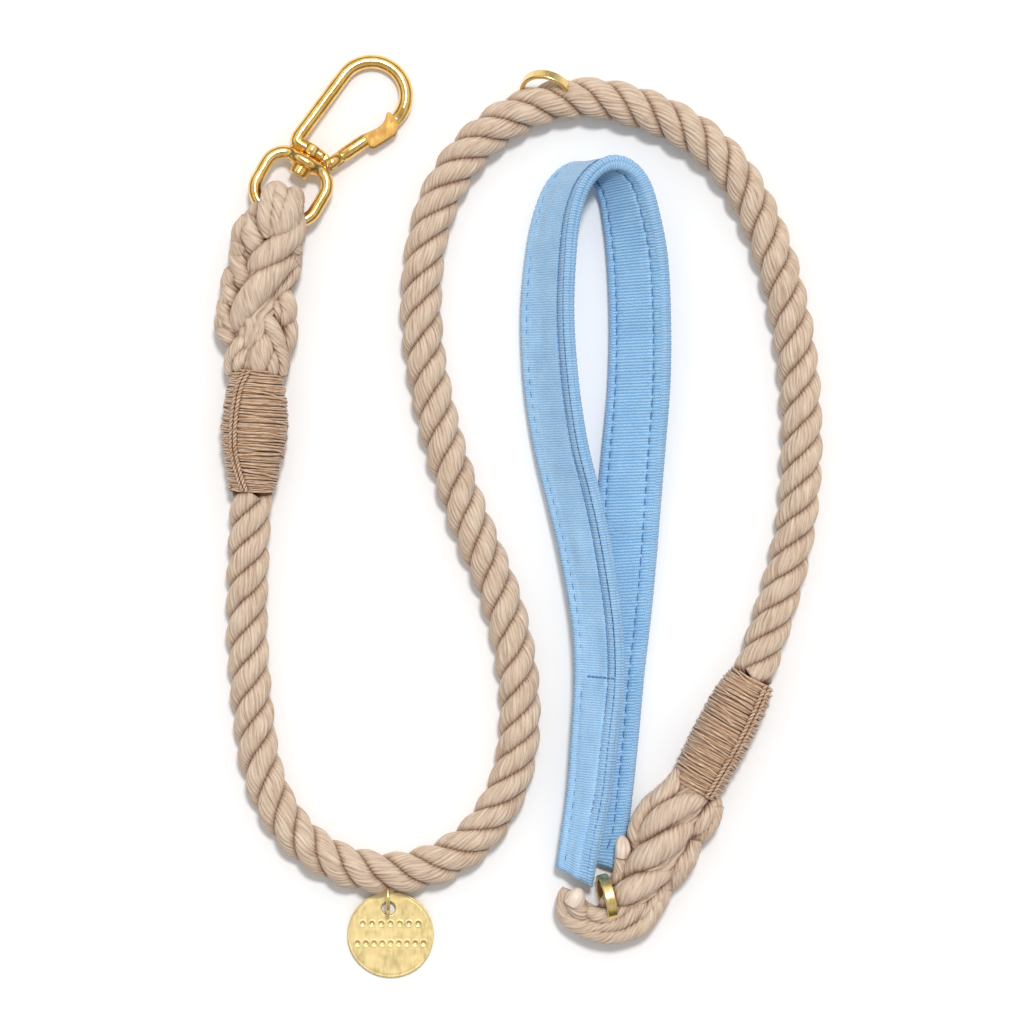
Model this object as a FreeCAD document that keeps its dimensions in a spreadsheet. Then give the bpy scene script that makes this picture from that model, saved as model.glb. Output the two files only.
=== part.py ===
"""Rope dog lead: three-strand rope, brass swivel snap hook, padded fabric hand loop, tag and two brass rings.

Millimetres, +Z up, the lead lying on z = 0.  The hook has its own frame (x along the bar of the swivel eye,
y along the swivel axis, origin on the bar) that is laid into the lead by one placement.
"""
import FreeCAD, Part
import math
import os

V = FreeCAD.Vector
doc = FreeCAD.newDocument("rope_dog_lead")
sheet = doc.addObject("Spreadsheet::Sheet", "dims")

DIMS = [
    ("ropeRadius", 6.35), ("threadRadius", 0.4),
    ("barHeight", 8.2), ("hookTurn", -29.6), ("hookTilt", -6.4),
    ("eyeRod", 1.9), ("eyeHalfWidth", 10.0), ("eyeLength", 18.3), ("eyeLowCorner", 6.5), ("eyeTopCorner", 6.0),
    ("bossRadius", 4.2), ("bossHalf", 1.85), ("shankRadius", 1.6), ("runningFit", 0.05),
    ("headRadius", 2.9), ("headLength", 3.0), ("swivelGap", 0.25),
    ("rodRadius", 2.0), ("footHalf", 1.6), ("bowRadius", 10.4), ("bowX", 7.45), ("bowY", 45.7),
    ("pivotX", 7.2), ("pivotY", 21.8), ("lugRadius", 1.9), ("lugHalf", 0.9), ("pinRadius", 0.8),
    ("cheekIn", 1.1), ("cheekOut", 1.95), ("barrelRadius", 2.15), ("barrelBore", 1.2), ("noseHalf", 1.15),
    ("bightStrand", 2.75), ("bightTurn", 4.85),
    ("tagRadius", 13.1), ("tagThick", 1.2), ("tagHole", 2.1), ("tagTilt", 4.0),
    ("jumpRadius", 5.0), ("jumpWire", 0.5), ("channelGap", 0.3),
    ("bandWidth", 3.2), ("bandThick", 1.3), ("shoulderRing", 8.0), ("handleRing", 7.6),
    ("strapHalfThick", 2.2), ("coreHalfThick", 0.9),
]
for row, (alias, value) in enumerate(DIMS, start=1):
    sheet.set("A%d" % row, alias)
    sheet.set("B%d" % row, str(value))
    sheet.setAlias("B%d" % row, alias)
doc.recompute()
D = {alias: float(sheet.get(alias)) for alias, _ in DIMS}

EYE_BAR = V(-55.7, 78.2, D["barHeight"])
HOOK_FRAME = FreeCAD.Placement(
    EYE_BAR,
    FreeCAD.Rotation(V(0, 0, 1), D["hookTurn"]) * FreeCAD.Rotation(V(1, 0, 0), D["hookTilt"]),
)
BAR_Z = D["barHeight"]

# Corner points of the rope's route from the hook's whipping to the handle's whipping.
LIE = D["ropeRadius"] + 0.05
ROUTE = [
    (-62.8, -6.0, BAR_Z), (-64.9, -34.0, LIE), (-63.6, -66.0, LIE), (-59.5, -96.2, LIE),
    (-45.2, -115.6, LIE), (-22.0, -123.0, LIE), (1.2, -115.8, LIE), (15.5, -96.4, LIE),
    (19.2, -70.0, LIE), (14.0, -40.0, LIE), (1.5, -12.0, LIE), (-8.5, 20.0, LIE),
    (-13.0, 53.0, LIE), (-7.5, 84.0, LIE), (9.0, 105.0, LIE), (33.0, 114.8, LIE),
    (59.5, 109.5, LIE), (81.5, 95.0, LIE), (95.0, 68.5, LIE), (102.3, 36.0, LIE),
    (103.8, 3.0, LIE), (99.6, -31.0, LIE), (88.2, -62.2, BAR_Z),
]
HOOK_WHIP = [(-61.3, 30.4), (-62.8, -6.0)]
HANDLE_WHIP = [(88.2, -62.2), (70.4, -96.0)]


def bind(obj, **links):
    """Bind properties to expressions; a double underscore stands for a dot."""
    for name, text in links.items():
        obj.setExpression(name.replace("__", "."), text)
    return obj


def place(obj, at, axis=V(0, 0, 1), angle=0.0):
    obj.Placement = FreeCAD.Placement(V(*at), FreeCAD.Rotation(axis, angle))
    return obj


def along(obj, at, direction):
    """Put a solid whose own axis is Z at a point, looking along a direction."""
    obj.Placement = FreeCAD.Placement(V(*at), FreeCAD.Rotation(V(0, 0, 1), V(*direction)))
    return obj


def cylinder(name, radius, height):
    return bind(doc.addObject("Part::Cylinder", name), Radius=radius, Height=height)


def box(name, size, at):
    obj = doc.addObject("Part::Box", name)
    obj.Length, obj.Width, obj.Height = size
    return place(obj, at)


def fuse(name, shapes):
    obj = doc.addObject("Part::MultiFuse", name)
    obj.Shapes = shapes
    return obj


def cut(name, base, tool):
    obj = doc.addObject("Part::Cut", name)
    obj.Base = base
    obj.Tool = tool
    return obj


def solid(name, shape):
    obj = doc.addObject("Part::Feature", name)
    obj.Shape = shape
    return obj


parts = {}


def finish(obj, label, placement=None):
    obj.Label = label
    if placement is not None:
        obj.Placement = placement
    parts[label] = obj


def rounded_wire(points):
    """Straight runs joined by tangent arcs that use 0.45 of the shorter run at each corner."""
    pts = [V(*p) for p in points]
    edges = []
    radii = []
    start = pts[0]
    for a, b, c in zip(pts, pts[1:], pts[2:]):
        u = (b - a).normalize()
        w = (c - b).normalize()
        half = u.getAngle(w) / 2
        cutback = 0.45 * min((b - a).Length, (c - b).Length)
        radii.append(cutback / math.tan(half))
        p = b - u * cutback
        q = b + w * cutback
        middle = b + (w - u).normalize() * (radii[-1] / math.cos(half) - radii[-1])
        edges.append(Part.LineSegment(start, p).toShape())
        edges.append(Part.Arc(p, middle, q).toShape())
        start = q
    edges.append(Part.LineSegment(start, pts[-1]).toShape())
    return Part.Wire(edges), min(radii)


def tube(points, radius):
    wire, tightest = rounded_wire(points)
    first = V(*points[1]) - V(*points[0])
    ring = Part.Wire(Part.Circle(V(*points[0]), first, radius).toShape())
    shape = wire.makePipeShell([ring], True, False)
    share = shape.Volume / (math.pi * radius ** 2 * wire.Length)
    print("tube length %.1f tightest radius %.1f volume share %.3f" % (wire.Length, tightest, share))
    return shape


def oval(centre, axis, half_width, half_height):
    """Oval wire across an axis that lies level."""
    z = V(*axis).normalize()
    x = z.cross(V(0, 0, 1)).normalize()
    y = z.cross(x)
    turn = FreeCAD.Rotation(x, y, z, "ZXY")
    major = max(half_width, half_height)
    minor = min(half_width, half_height)
    edge = Part.Ellipse(V(0, 0, 0), major, minor - 0.001).toShape()
    if half_height > half_width:
        turn = turn * FreeCAD.Rotation(V(0, 0, 1), 90)
    edge.Placement = FreeCAD.Placement(V(*centre), turn)
    return Part.Wire(edge)


def loft_ovals(sections):
    """Solid through ovals given as (x, y, z, half width, half height), along the line of their centres."""
    wires = []
    for i, (x, y, z, hw, hh) in enumerate(sections):
        before = sections[max(i - 1, 0)]
        after = sections[min(i + 1, len(sections) - 1)]
        axis = (after[0] - before[0], after[1] - before[1], 0)
        wires.append(oval((x, y, z), axis, hw, hh))
    return Part.makeLoft(wires, True, False)


# ---------------------------------------------------------------- swivel eye
half = D["eyeHalfWidth"]
top = D["eyeLength"]
low_r = D["eyeLowCorner"]
top_r = D["eyeTopCorner"]
rods = []
runs = [
    ((-half + low_r, 0, 0), (1, 0, 0), 2 * (half - low_r)),
    ((half, low_r, 0), (0, 1, 0), top - low_r - top_r),
    ((half - top_r, top, 0), (-1, 0, 0), 2 * (half - top_r)),
    ((-half, top - top_r, 0), (0, -1, 0), top - low_r - top_r),
]
for i, (at, direction, length) in enumerate(runs):
    rod = cylinder("eye_rod_%d" % i, "dims.eyeRod", "%.4f mm" % length)
    rods.append(along(rod, at, direction))
corners = [
    ((half - low_r, low_r, 0), 270, "eyeLowCorner"),
    ((half - top_r, top - top_r, 0), 0, "eyeTopCorner"),
    ((-half + top_r, top - top_r, 0), 90, "eyeTopCorner"),
    ((-half + low_r, low_r, 0), 180, "eyeLowCorner"),
]
for i, (at, angle, alias) in enumerate(corners):
    bend = doc.addObject("Part::Torus", "eye_bend_%d" % i)
    bind(bend, Radius1="dims.%s" % alias, Radius2="dims.eyeRod")
    bend.Angle3 = 90
    rods.append(place(bend, at, V(0, 0, 1), angle))
boss = cylinder("eye_boss", "dims.bossRadius", "2 * dims.bossHalf")
along(boss, (0, top - D["bossHalf"], 0), (0, 1, 0))
doc.recompute()
boss_round = doc.addObject("Part::Fillet", "eye_boss_round")
boss_round.Base = boss
boss_round.Edges = [(i + 1, 1.1, 1.1) for i, e in enumerate(boss.Shape.Edges) if e.Curve.TypeId == "Part::GeomCircle"]
eye_blank = fuse("eye_blank", rods + [boss_round])
bore = cylinder("eye_bore", "dims.shankRadius + dims.runningFit", "2 * dims.bossHalf + 4")
along(bore, (0, top - D["bossHalf"] - 2, 0), (0, 1, 0))
finish(cut("swivel_eye", eye_blank, bore), "swivel_eye", HOOK_FRAME)

# ---------------------------------------------------------------- hook body
rod_r = D["rodRadius"]
bow = V(D["bowX"], D["bowY"], 0)
foot_y = top + D["bossHalf"] + D["swivelGap"] + D["footHalf"]
heel = V(-5.8, foot_y, 0)
reach = bow - heel
to_bow = math.degrees(math.atan2(reach.y, reach.x))
lean = math.degrees(math.asin(D["bowRadius"] / reach.Length))
spine_angle = to_bow + lean
spine_length = math.sqrt(reach.Length ** 2 - D["bowRadius"] ** 2)
spine_dir = (math.cos(math.radians(spine_angle)), math.sin(math.radians(spine_angle)), 0)
NOSE_ANGLE = -26.0

spine = along(cylinder("hook_spine", "dims.rodRadius", "%.4f mm" % spine_length), heel, spine_dir)
crook = doc.addObject("Part::Torus", "hook_bow")
bind(crook, Radius1="dims.bowRadius", Radius2="dims.rodRadius")
crook.Angle3 = spine_angle + 90 - NOSE_ANGLE
place(crook, bow, V(0, 0, 1), NOSE_ANGLE)
heel_ball = place(bind(doc.addObject("Part::Sphere", "hook_heel"), Radius="dims.rodRadius"), heel)
foot = box("hook_foot", (10.5, 2 * D["footHalf"], 3.6), (heel.x, foot_y - D["footHalf"], -1.8))
lug = cylinder("hook_lug", "dims.lugRadius", "2 * dims.lugHalf")
place(lug, (D["pivotX"], D["pivotY"], -D["lugHalf"]))
neck = box("hook_neck", (3.2, 3.2, 2 * D["lugHalf"]), (4.4, D["pivotY"] - 1.4, -D["lugHalf"]))
hook_blank = fuse("hook_blank", [spine, crook, heel_ball, foot, lug, neck])
pin_hole = cylinder("hook_pin_hole", "dims.pinRadius + dims.runningFit", "10 mm")
place(pin_hole, (D["pivotX"], D["pivotY"], -5))
shank_hole = cylinder("hook_shank_hole", "dims.shankRadius", "2 * dims.footHalf + 0.2")
along(shank_hole, (0, foot_y - D["footHalf"] - 0.1, 0), (0, 1, 0))
flat_size = (9.0, 7.6, 4.0)
flat_at = (bow.x + 5.2, bow.y - 7.6, D["noseHalf"])
flat_top = box("nose_flat_top", flat_size, flat_at)
flat_low = box("nose_flat_low", flat_size, (flat_at[0], flat_at[1], -D["noseHalf"] - 4.0))
knife = fuse("hook_cuts", [pin_hole, shank_hole, flat_top, flat_low])
finish(cut("hook_body", hook_blank, knife), "hook_body", HOOK_FRAME)

head_top = top - D["bossHalf"] - D["swivelGap"]
head = cylinder("rivet_head_blank", "dims.headRadius", "dims.headLength")
along(head, (0, head_top, 0), (0, -1, 0))
doc.recompute()
head_round = doc.addObject("Part::Fillet", "rivet_head")
head_round.Base = head
head_round.Edges = [(i + 1, 0.7, 0.7) for i, e in enumerate(head.Shape.Edges) if e.Curve.TypeId == "Part::GeomCircle"]
shank = cylinder("rivet_shank", "dims.shankRadius", "%.4f mm" % (foot_y + D["footHalf"] - head_top))
along(shank, (0, head_top, 0), (0, 1, 0))
finish(fuse("swivel_rivet", [head_round, shank]), "swivel_rivet", HOOK_FRAME)

# ---------------------------------------------------------------- gate
pivot = V(D["pivotX"], D["pivotY"], 0)
nose = bow + V(D["bowRadius"] * math.cos(math.radians(-13.4)), D["bowRadius"] * math.sin(math.radians(-13.4)), 0)
gate_angle = math.degrees(math.atan2(nose.y - pivot.y, nose.x - pivot.x))
GATE_FRAME = HOOK_FRAME * FreeCAD.Placement(pivot, FreeCAD.Rotation(V(0, 0, 1), gate_angle))

PLATE = [
    (12.0, 1.6), (16.0, 1.0), (19.0, 2.3), (20.2, 2.7), (22.9, 3.0),
    (23.6, 0.6), (23.4, -1.6), (21.0, -3.9), (13.4, -3.4), (12.0, -2.2),
]
WEB = [(15.6, 0.2), (16.0, 1.0), (19.0, 2.3), (20.2, 2.7), (22.9, 3.0), (22.9, 2.25), (20.6, 2.1), (17.6, 0.2)]


def slab(points, low, high):
    corner = [V(x, y, low) for x, y in points]
    face = Part.Face(Part.makePolygon(corner + [corner[0]]))
    return face.extrude(V(0, 0, high - low))


cheek_gap = D["cheekIn"]
cheek_out = D["cheekOut"]
lobes = []
for i, low in enumerate((-cheek_out, cheek_gap)):
    eye = cylinder("gate_lobe_%d" % i, "2.1 mm", "dims.cheekOut - dims.cheekIn")
    place(eye, (0, 0, low))
    arm = box("gate_arm_%d" % i, (4.2, 3.0, cheek_out - cheek_gap), (0, -1.5, low))
    lobes += [eye, arm]
barrel = along(cylinder("gate_barrel", "dims.barrelRadius", "10 mm"), (3.6, 0, 0), (1, 0, 0))
collar = along(cylinder("gate_collar", "dims.barrelRadius + 0.2", "0.7 mm"), (3.3, 0, 0), (1, 0, 0))
bridge = solid("gate_bridge", slab([(11.5, 1.6), (16.6, 0.9), (16.6, -2.6), (13.4, -3.0), (11.5, -2.1)], -1.95, 1.95))
cheeks = [
    solid("gate_cheek_top", slab(PLATE, 1.45, 1.95)),
    solid("gate_cheek_low", slab(PLATE, -1.95, -1.45)),
    solid("gate_web", slab(WEB, -1.5, 1.5)),
]
gate_blank = fuse("gate_blank", lobes + [barrel, collar, bridge] + cheeks)
gate_pin_hole = place(cylinder("gate_pin_hole", "dims.pinRadius", "10 mm"), (0, 0, -5))
spring_bore = along(cylinder("gate_bore", "dims.barrelBore", "10.4 mm"), (2.0, 0, 0), (1, 0, 0))
gate_cuts = fuse("gate_cuts", [gate_pin_hole, spring_bore])
finish(cut("gate", gate_blank, gate_cuts), "gate", GATE_FRAME)

pin_bar = place(cylinder("pin_bar", "dims.pinRadius", "2 * dims.cheekOut"), (0, 0, -cheek_out))
pin_top = place(cylinder("pin_top", "1.3 mm", "0.35 mm"), (0, 0, cheek_out))
pin_low = place(cylinder("pin_low", "1.3 mm", "0.35 mm"), (0, 0, -cheek_out - 0.35))
finish(fuse("gate_pin", [pin_bar, pin_top, pin_low]), "gate_pin", GATE_FRAME)

spring_path = [(12.2, 0, 0), (8.0, 0, 0), (4.6, 0.45, 0), (2.5, 0.45, 0)]
spring_shape = tube(spring_path, 0.3)
finish(solid("gate_spring", spring_shape), "gate_spring", GATE_FRAME)

# ---------------------------------------------------------------- rope, splices and whippings
wide = [
    (-58.2, 70.4, BAR_Z, 8.6, 7.3), (-58.9, 62.0, BAR_Z, 9.2, 7.6), (-60.2, 54.5, BAR_Z, 9.5, 7.8),
    (-61.4, 47.0, BAR_Z, 10.5, 7.9), (-61.0, 38.0, BAR_Z, 9.3, 7.8), (-61.3, 30.4, BAR_Z, 8.0, 7.2),
]
axis = V(HOOK_WHIP[1][0] - HOOK_WHIP[0][0], HOOK_WHIP[1][1] - HOOK_WHIP[0][1], 0)
core_start = V(HOOK_WHIP[0][0], HOOK_WHIP[0][1], BAR_Z)
hook_core = Part.makeCylinder(D["ropeRadius"], axis.Length, core_start, axis)
strands = []
turn = D["bightTurn"]
thick = D["bightStrand"]
for x in (-3.6, 1.8):
    bend = Part.makeTorus(turn, thick, V(x, 0, 0), V(1, 0, 0), 0, 360, 360)
    half_space = Part.makeBox(30, 30, 30, V(-15, 0, -15))
    strands.append(bend.common(half_space))
    for z in (turn, -turn):
        strands.append(Part.makeCylinder(thick, 9.0, V(x, 0, z), V(0, -1, 0)))
bight = strands[0].multiFuse(strands[1:])
bight.Placement = HOOK_FRAME
splice = loft_ovals(wide).multiFuse([hook_core, bight])
eye_room = Part.makeCylinder(D["eyeRod"] + 0.3, 12, V(-6, 0, 0), V(1, 0, 0))
eye_room.Placement = HOOK_FRAME
hook_splice = splice.cut(eye_room).removeSplitter()
finish(solid("hook_splice", hook_splice), "hook_splice")


def whipping(name, ends, profile, height_share, splice):
    """Barrel of wound thread round the rope, from (share of length, half width) pairs, clear of the splice."""
    a = V(ends[0][0], ends[0][1], BAR_Z)
    b = V(ends[1][0], ends[1][1], BAR_Z)
    rows = []
    for share, hw in profile:
        p = a + (b - a) * share
        rows.append((p.x, p.y, p.z, hw, max(hw * height_share, D["ropeRadius"] + 0.25)))
    barrel_shape = loft_ovals(rows)
    core = Part.makeCylinder(D["ropeRadius"], (b - a).Length + 2, a - (b - a).normalize(), b - a)
    barrel_shape = barrel_shape.cut(core).cut(splice)
    finish(solid(name, barrel_shape), name)
    return barrel_shape


def frapping(name, ends, profile, side, height_share, barrel_shape):
    """Two threads laid lengthwise over a whipping, at an angle round its axis."""
    a = V(ends[0][0], ends[0][1], BAR_Z)
    b = V(ends[1][0], ends[1][1], BAR_Z)
    out = (b - a).normalize().cross(V(0, 0, 1))
    threads = []
    for angle in (side, side + 9.0 * (1 if side > 0 else -1)):
        pts = []
        for share, hw in profile:
            hh = max(hw * height_share, D["ropeRadius"] + 0.25)
            p = a + (b - a) * min(max(share, 0.03), 0.97)
            p = p + out * (math.sin(math.radians(angle)) * (hw + 0.4))
            p = p + V(0, 0, math.cos(math.radians(angle)) * (hh + 0.4))
            pts.append(tuple(p))
        threads.append(tube(pts, D["threadRadius"]).cut(barrel_shape))
    finish(solid(name, Part.makeCompound(threads)), name)


HOOK_PROFILE = [(0, 7.5), (0.14, 8.7), (0.38, 9.8), (0.6, 9.6), (0.82, 7.9), (1.0, 6.7)]
HANDLE_PROFILE = [(0, 7.0), (0.15, 8.2), (0.4, 8.7), (0.62, 8.7), (0.85, 8.2), (1.0, 7.4)]
hook_barrel = whipping("hook_whipping", HOOK_WHIP, HOOK_PROFILE, 0.81, hook_splice)
frapping("hook_frapping", HOOK_WHIP, HOOK_PROFILE, 42.0, 0.81, hook_barrel)

plait = [
    (70.4, -96.0, BAR_Z, 8.0, 7.2), (67.0, -103.5, BAR_Z, 10.0, 7.6), (63.0, -112.0, BAR_Z, 10.8, 7.7),
    (58.5, -120.0, 7.8, 10.6, 7.5), (53.5, -126.5, 7.2, 9.2, 7.0), (49.0, -131.5, 6.6, 7.2, 6.4),
]
axis = V(HANDLE_WHIP[1][0] - HANDLE_WHIP[0][0], HANDLE_WHIP[1][1] - HANDLE_WHIP[0][1], 0)
core_start = V(HANDLE_WHIP[0][0], HANDLE_WHIP[0][1], BAR_Z)
handle_core_rope = Part.makeCylinder(D["ropeRadius"], axis.Length, core_start, axis)
handle_splice = loft_ovals(plait).fuse(handle_core_rope)
handle_barrel = whipping("handle_whipping", HANDLE_WHIP, HANDLE_PROFILE, 0.93, handle_splice)
frapping("handle_frapping", HANDLE_WHIP, HANDLE_PROFILE, -42.0, 0.93, handle_barrel.fuse(handle_splice))


def band_ring(outer, width, thick, centre, normal, grow=0.0):
    """Flat band ring, or the channel it runs in when grown."""
    n = V(*normal).normalize()
    height = width + 2 * grow
    base = V(*centre) - n * (height / 2)
    rim = Part.makeCylinder(outer + grow, height, base, n)
    hole = Part.makeCylinder(outer - thick - grow, height + 2, base - n, n)
    ring = rim.cut(hole)
    if grow == 0.0:
        ring = ring.makeFillet(0.4, ring.Edges)
    return ring


SHOULDER_CENTRE = (26.0, 114.6, 7.6)
SHOULDER_A = V(0.945, -0.328, 0)
SHOULDER_B = V(0.328 * 0.65, 0.945 * 0.65, 0.76)
SHOULDER_NORMAL = tuple(SHOULDER_A.cross(SHOULDER_B).normalize())
HANDLE_CENTRE = (44.4, -128.9, 7.8)
HANDLE_NORMAL = (0.97 * math.cos(math.radians(8)), 0.21 * math.cos(math.radians(8)), -math.sin(math.radians(8)))
gap = D["channelGap"]
shoulder_channel = band_ring(
    D["shoulderRing"], D["bandWidth"], D["bandThick"], SHOULDER_CENTRE, SHOULDER_NORMAL, gap)
handle_channel = band_ring(
    D["handleRing"], D["bandWidth"], D["bandThick"], HANDLE_CENTRE, HANDLE_NORMAL, gap)
finish(solid("shoulder_ring", band_ring(
    D["shoulderRing"], D["bandWidth"], D["bandThick"], SHOULDER_CENTRE, SHOULDER_NORMAL)), "shoulder_ring")
finish(solid("handle_ring", band_ring(
    D["handleRing"], D["bandWidth"], D["bandThick"], HANDLE_CENTRE, HANDLE_NORMAL)), "handle_ring")

JUMP_CENTRE = V(-21.7, -128.8, 5.5)
jump_channel = Part.makeTorus(D["jumpRadius"], D["jumpWire"] + gap, JUMP_CENTRE, V(1, 0, 0))
rope = tube(ROUTE, D["ropeRadius"])
for tool in (shoulder_channel, jump_channel, hook_splice, handle_splice):
    rope = rope.cut(tool)
finish(solid("rope", rope), "rope")
finish(solid("handle_splice", handle_splice.cut(handle_channel).removeSplitter()), "handle_splice")

LEFT_TAIL = [
    (49.0, -131.5, 6.6), (44.0, -136.0, 5.0), (37.5, -135.6, 4.8), (32.6, -129.5, 5.4), (33.6, -122.4, 7.0),
]
RIGHT_TAIL = [(54.6, -124.0, 6.6), (50.4, -118.6, 8.7), (48.8, -111.4, 9.6)]
left_tail = tube(LEFT_TAIL, 4.4).cut(handle_splice).cut(handle_channel)
finish(solid("handle_tail_left", left_tail), "handle_tail_left")
right_tail = tube(RIGHT_TAIL, 3.2).cut(handle_splice)
finish(solid("handle_tail_right", right_tail), "handle_tail_right")

# ---------------------------------------------------------------- tag and its jump ring
jump = doc.addObject("Part::Torus", "tag_ring")
bind(jump, Radius1="dims.jumpRadius", Radius2="dims.jumpWire")
jump.Placement = FreeCAD.Placement(JUMP_CENTRE, FreeCAD.Rotation(V(0, 1, 0), 90))
finish(jump, "tag_ring")
disc = cylinder("tag_disc", "dims.tagRadius", "dims.tagThick")
hole = place(cylinder("tag_hole", "dims.tagHole", "dims.tagThick + 2"), (-0.6, 8.1, -1))
tag = cut("tag", disc, hole)
tag_y = -127.0 - D["tagRadius"]
tilt = math.radians(D["tagTilt"])
tag_frame = FreeCAD.Placement(V(-21.1, tag_y, D["tagRadius"] * math.sin(tilt)), FreeCAD.Rotation(V(1, 0, 0), D["tagTilt"]))
finish(tag, "tag", tag_frame)

# ---------------------------------------------------------------- padded hand loop
# Edge pairs of the strap from its left end, round the top, to its right end: lower edge, then upper edge.
STRAP = [
    ((30.5, -120.4, 6.6), (38.6, -123.6, 8.2)), ((31.4, -110.8, 6.5), (41.4, -112.6, 11.5)),
    ((32.5, -96.8, 6.5), (45.1, -98.0, 13.0)), ((33.9, -79.6, 6.8), (47.2, -80.6, 14.4)),
    ((34.9, -62.0, 7.0), (49.0, -63.0, 15.2)), ((34.0, -44.8, 7.0), (48.4, -45.4, 15.8)),
    ((30.3, -23.7, 6.0), (45.1, -23.1, 16.0)), ((26.6, -8.0, 4.6), (41.8, -7.4, 16.0)),
    ((22.8, 8.0, 3.5), (37.8, 8.6, 16.2)), ((20.0, 26.4, 3.0), (35.1, 26.4, 16.2)),
    ((19.1, 46.0, 2.8), (33.6, 46.0, 16.6)), ((20.3, 62.6, 2.6), (34.0, 63.6, 17.2)),
    ((22.6, 75.6, 2.6), (35.5, 77.5, 17.8)), ((26.6, 86.0, 2.5), (39.2, 87.4, 18.0)),
    ((32.6, 91.4, 2.4), (45.2, 92.6, 18.0)), ((38.6, 90.4, 2.4), (51.4, 92.2, 17.6)),
    ((42.4, 84.6, 2.4), (56.4, 87.0, 16.6)), ((44.0, 75.4, 2.4), (59.6, 77.3, 15.0)),
    ((45.0, 63.4, 2.4), (62.2, 64.6, 12.6)), ((45.6, 46.0, 2.4), (63.2, 46.6, 11.6)),
    ((45.0, 26.4, 2.4), (63.2, 27.0, 10.2)), ((43.2, 8.0, 2.4), (62.0, 8.6, 8.0)),
    ((41.6, -8.4, 2.4), (60.8, -7.8, 6.2)), ((40.4, -26.6, 2.4), (59.5, -25.4, 5.0)),
    ((38.6, -44.8, 2.4), (57.8, -43.8, 4.2)), ((37.2, -62.0, 2.4), (55.8, -61.4, 3.8)),
    ((36.0, -79.6, 2.4), (54.2, -79.0, 3.6)), ((35.4, -96.8, 2.4), (52.4, -96.2, 3.6)),
    ((35.4, -110.4, 2.4), (50.6, -109.4, 3.6)), ((38.0, -118.0, 2.6), (46.6, -120.4, 3.4)),
]


def strap_frames():
    frames = []
    for i, (low, high) in enumerate(STRAP):
        a = V(*low)
        b = V(*high)
        before = STRAP[max(i - 1, 0)]
        after = STRAP[min(i + 1, len(STRAP) - 1)]
        travel = V(*after[0]) + V(*after[1]) - V(*before[0]) - V(*before[1])
        across = (b - a).normalize()
        out = across.cross(travel).normalize()
        frames.append(((a + b) * 0.5, across, out, (b - a).Length / 2))
    return frames


FRAMES = strap_frames()


def strap_layer(left, right, low, high, first=0, last=None):
    """Layer of the strap between two shares of its half width and two heights from its middle."""
    wires = []
    for centre, across, out, hw in FRAMES[first:last]:
        corner = [
            centre + across * (hw * s + e) + out * t
            for s, e, t in ((left[0], left[1], low), (right[0], right[1], low),
                            (right[0], right[1], high), (left[0], left[1], high))
        ]
        wires.append(Part.makePolygon(corner + [corner[0]]))
    return Part.makeLoft(wires, True, True)


full = D["strapHalfThick"]
thin = D["coreHalfThick"]
cover = strap_layer((-1, 0), (1, 0), thin, full)
lining = strap_layer((-1, 0), (1, 0), -full, -thin)
core = strap_layer((-1, 2.2), (1, -2.2), -thin, thin, 1, len(STRAP) - 1)
finish(solid("handle_cover", cover), "handle_cover")
finish(solid("handle_lining", lining), "handle_lining")
finish(solid("handle_core", core), "handle_core")
pipings = [strap_layer((-1, 0), (-1, 1.8), -thin, thin), strap_layer((1, -1.8), (1, 0), -thin, thin)]
finish(solid("handle_piping", Part.makeCompound(pipings)), "handle_piping")


def stitch(side, face, i):
    """One straight stitch of thread lying on a face of the strap, 3.2 mm in from an edge, between stations i and i + 1."""
    ends = []
    for centre, across, out, hw in (FRAMES[i], FRAMES[i + 1]):
        ends.append((centre + across * (side * (hw - 3.2)) + out * (face * (full + 0.25)), across, out))
    (a, across, out), (b, _, next_out) = ends
    line = b - a
    up = (out + next_out) * face
    turn = FreeCAD.Rotation(line, up.cross(line), up, "XZY")
    dash = Part.makeBox(line.Length * 0.6, 0.6, 0.3, V(line.Length * 0.2, -0.3, 0))
    dash.Placement = FreeCAD.Placement(a, turn)
    return dash


stitches = []
for side in (-1, 1):
    for face in (-1, 1):
        row = [stitch(side, face, i) for i in range(1, len(STRAP) - 2)]
        stitches += [dash for dash in row if dash.BoundBox.ZMin > 0.05]
finish(solid("handle_stitching", Part.makeCompound(stitches)), "handle_stitching")
centre, across, out, hw = FRAMES[4]
tack_turn = FreeCAD.Rotation(across, out.cross(across), out, "ZXY")
tack = Part.makeBox(8.4, 1.2, 0.35, V(-4.2, -0.6, 0))
tack.Placement = FreeCAD.Placement(centre + out * (full + 0.1), tack_turn)
finish(solid("handle_tack", tack), "handle_tack")

# ---------------------------------------------------------------- checks and export
doc.recompute()
for obj in doc.Objects:
    if "Invalid" in obj.State or "Error" in obj.State:
        raise RuntimeError("%s is %s" % (obj.Name, obj.State))
os.makedirs("parts", exist_ok=True)
for label, obj in parts.items():
    shape = obj.Shape
    if shape.isNull() or not shape.isValid() or not shape.Solids:
        raise RuntimeError("%s has no valid solid" % label)
    b = shape.optimalBoundingBox(True, False)
    print("%-18s solids %d volume %9.1f  x %.1f..%.1f y %.1f..%.1f z %.2f..%.2f" % (
        label, len(shape.Solids), shape.Volume, b.XMin, b.XMax, b.YMin, b.YMax, b.ZMin, b.ZMax))
    shape.exportStep("parts/%s.step" % label)
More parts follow.
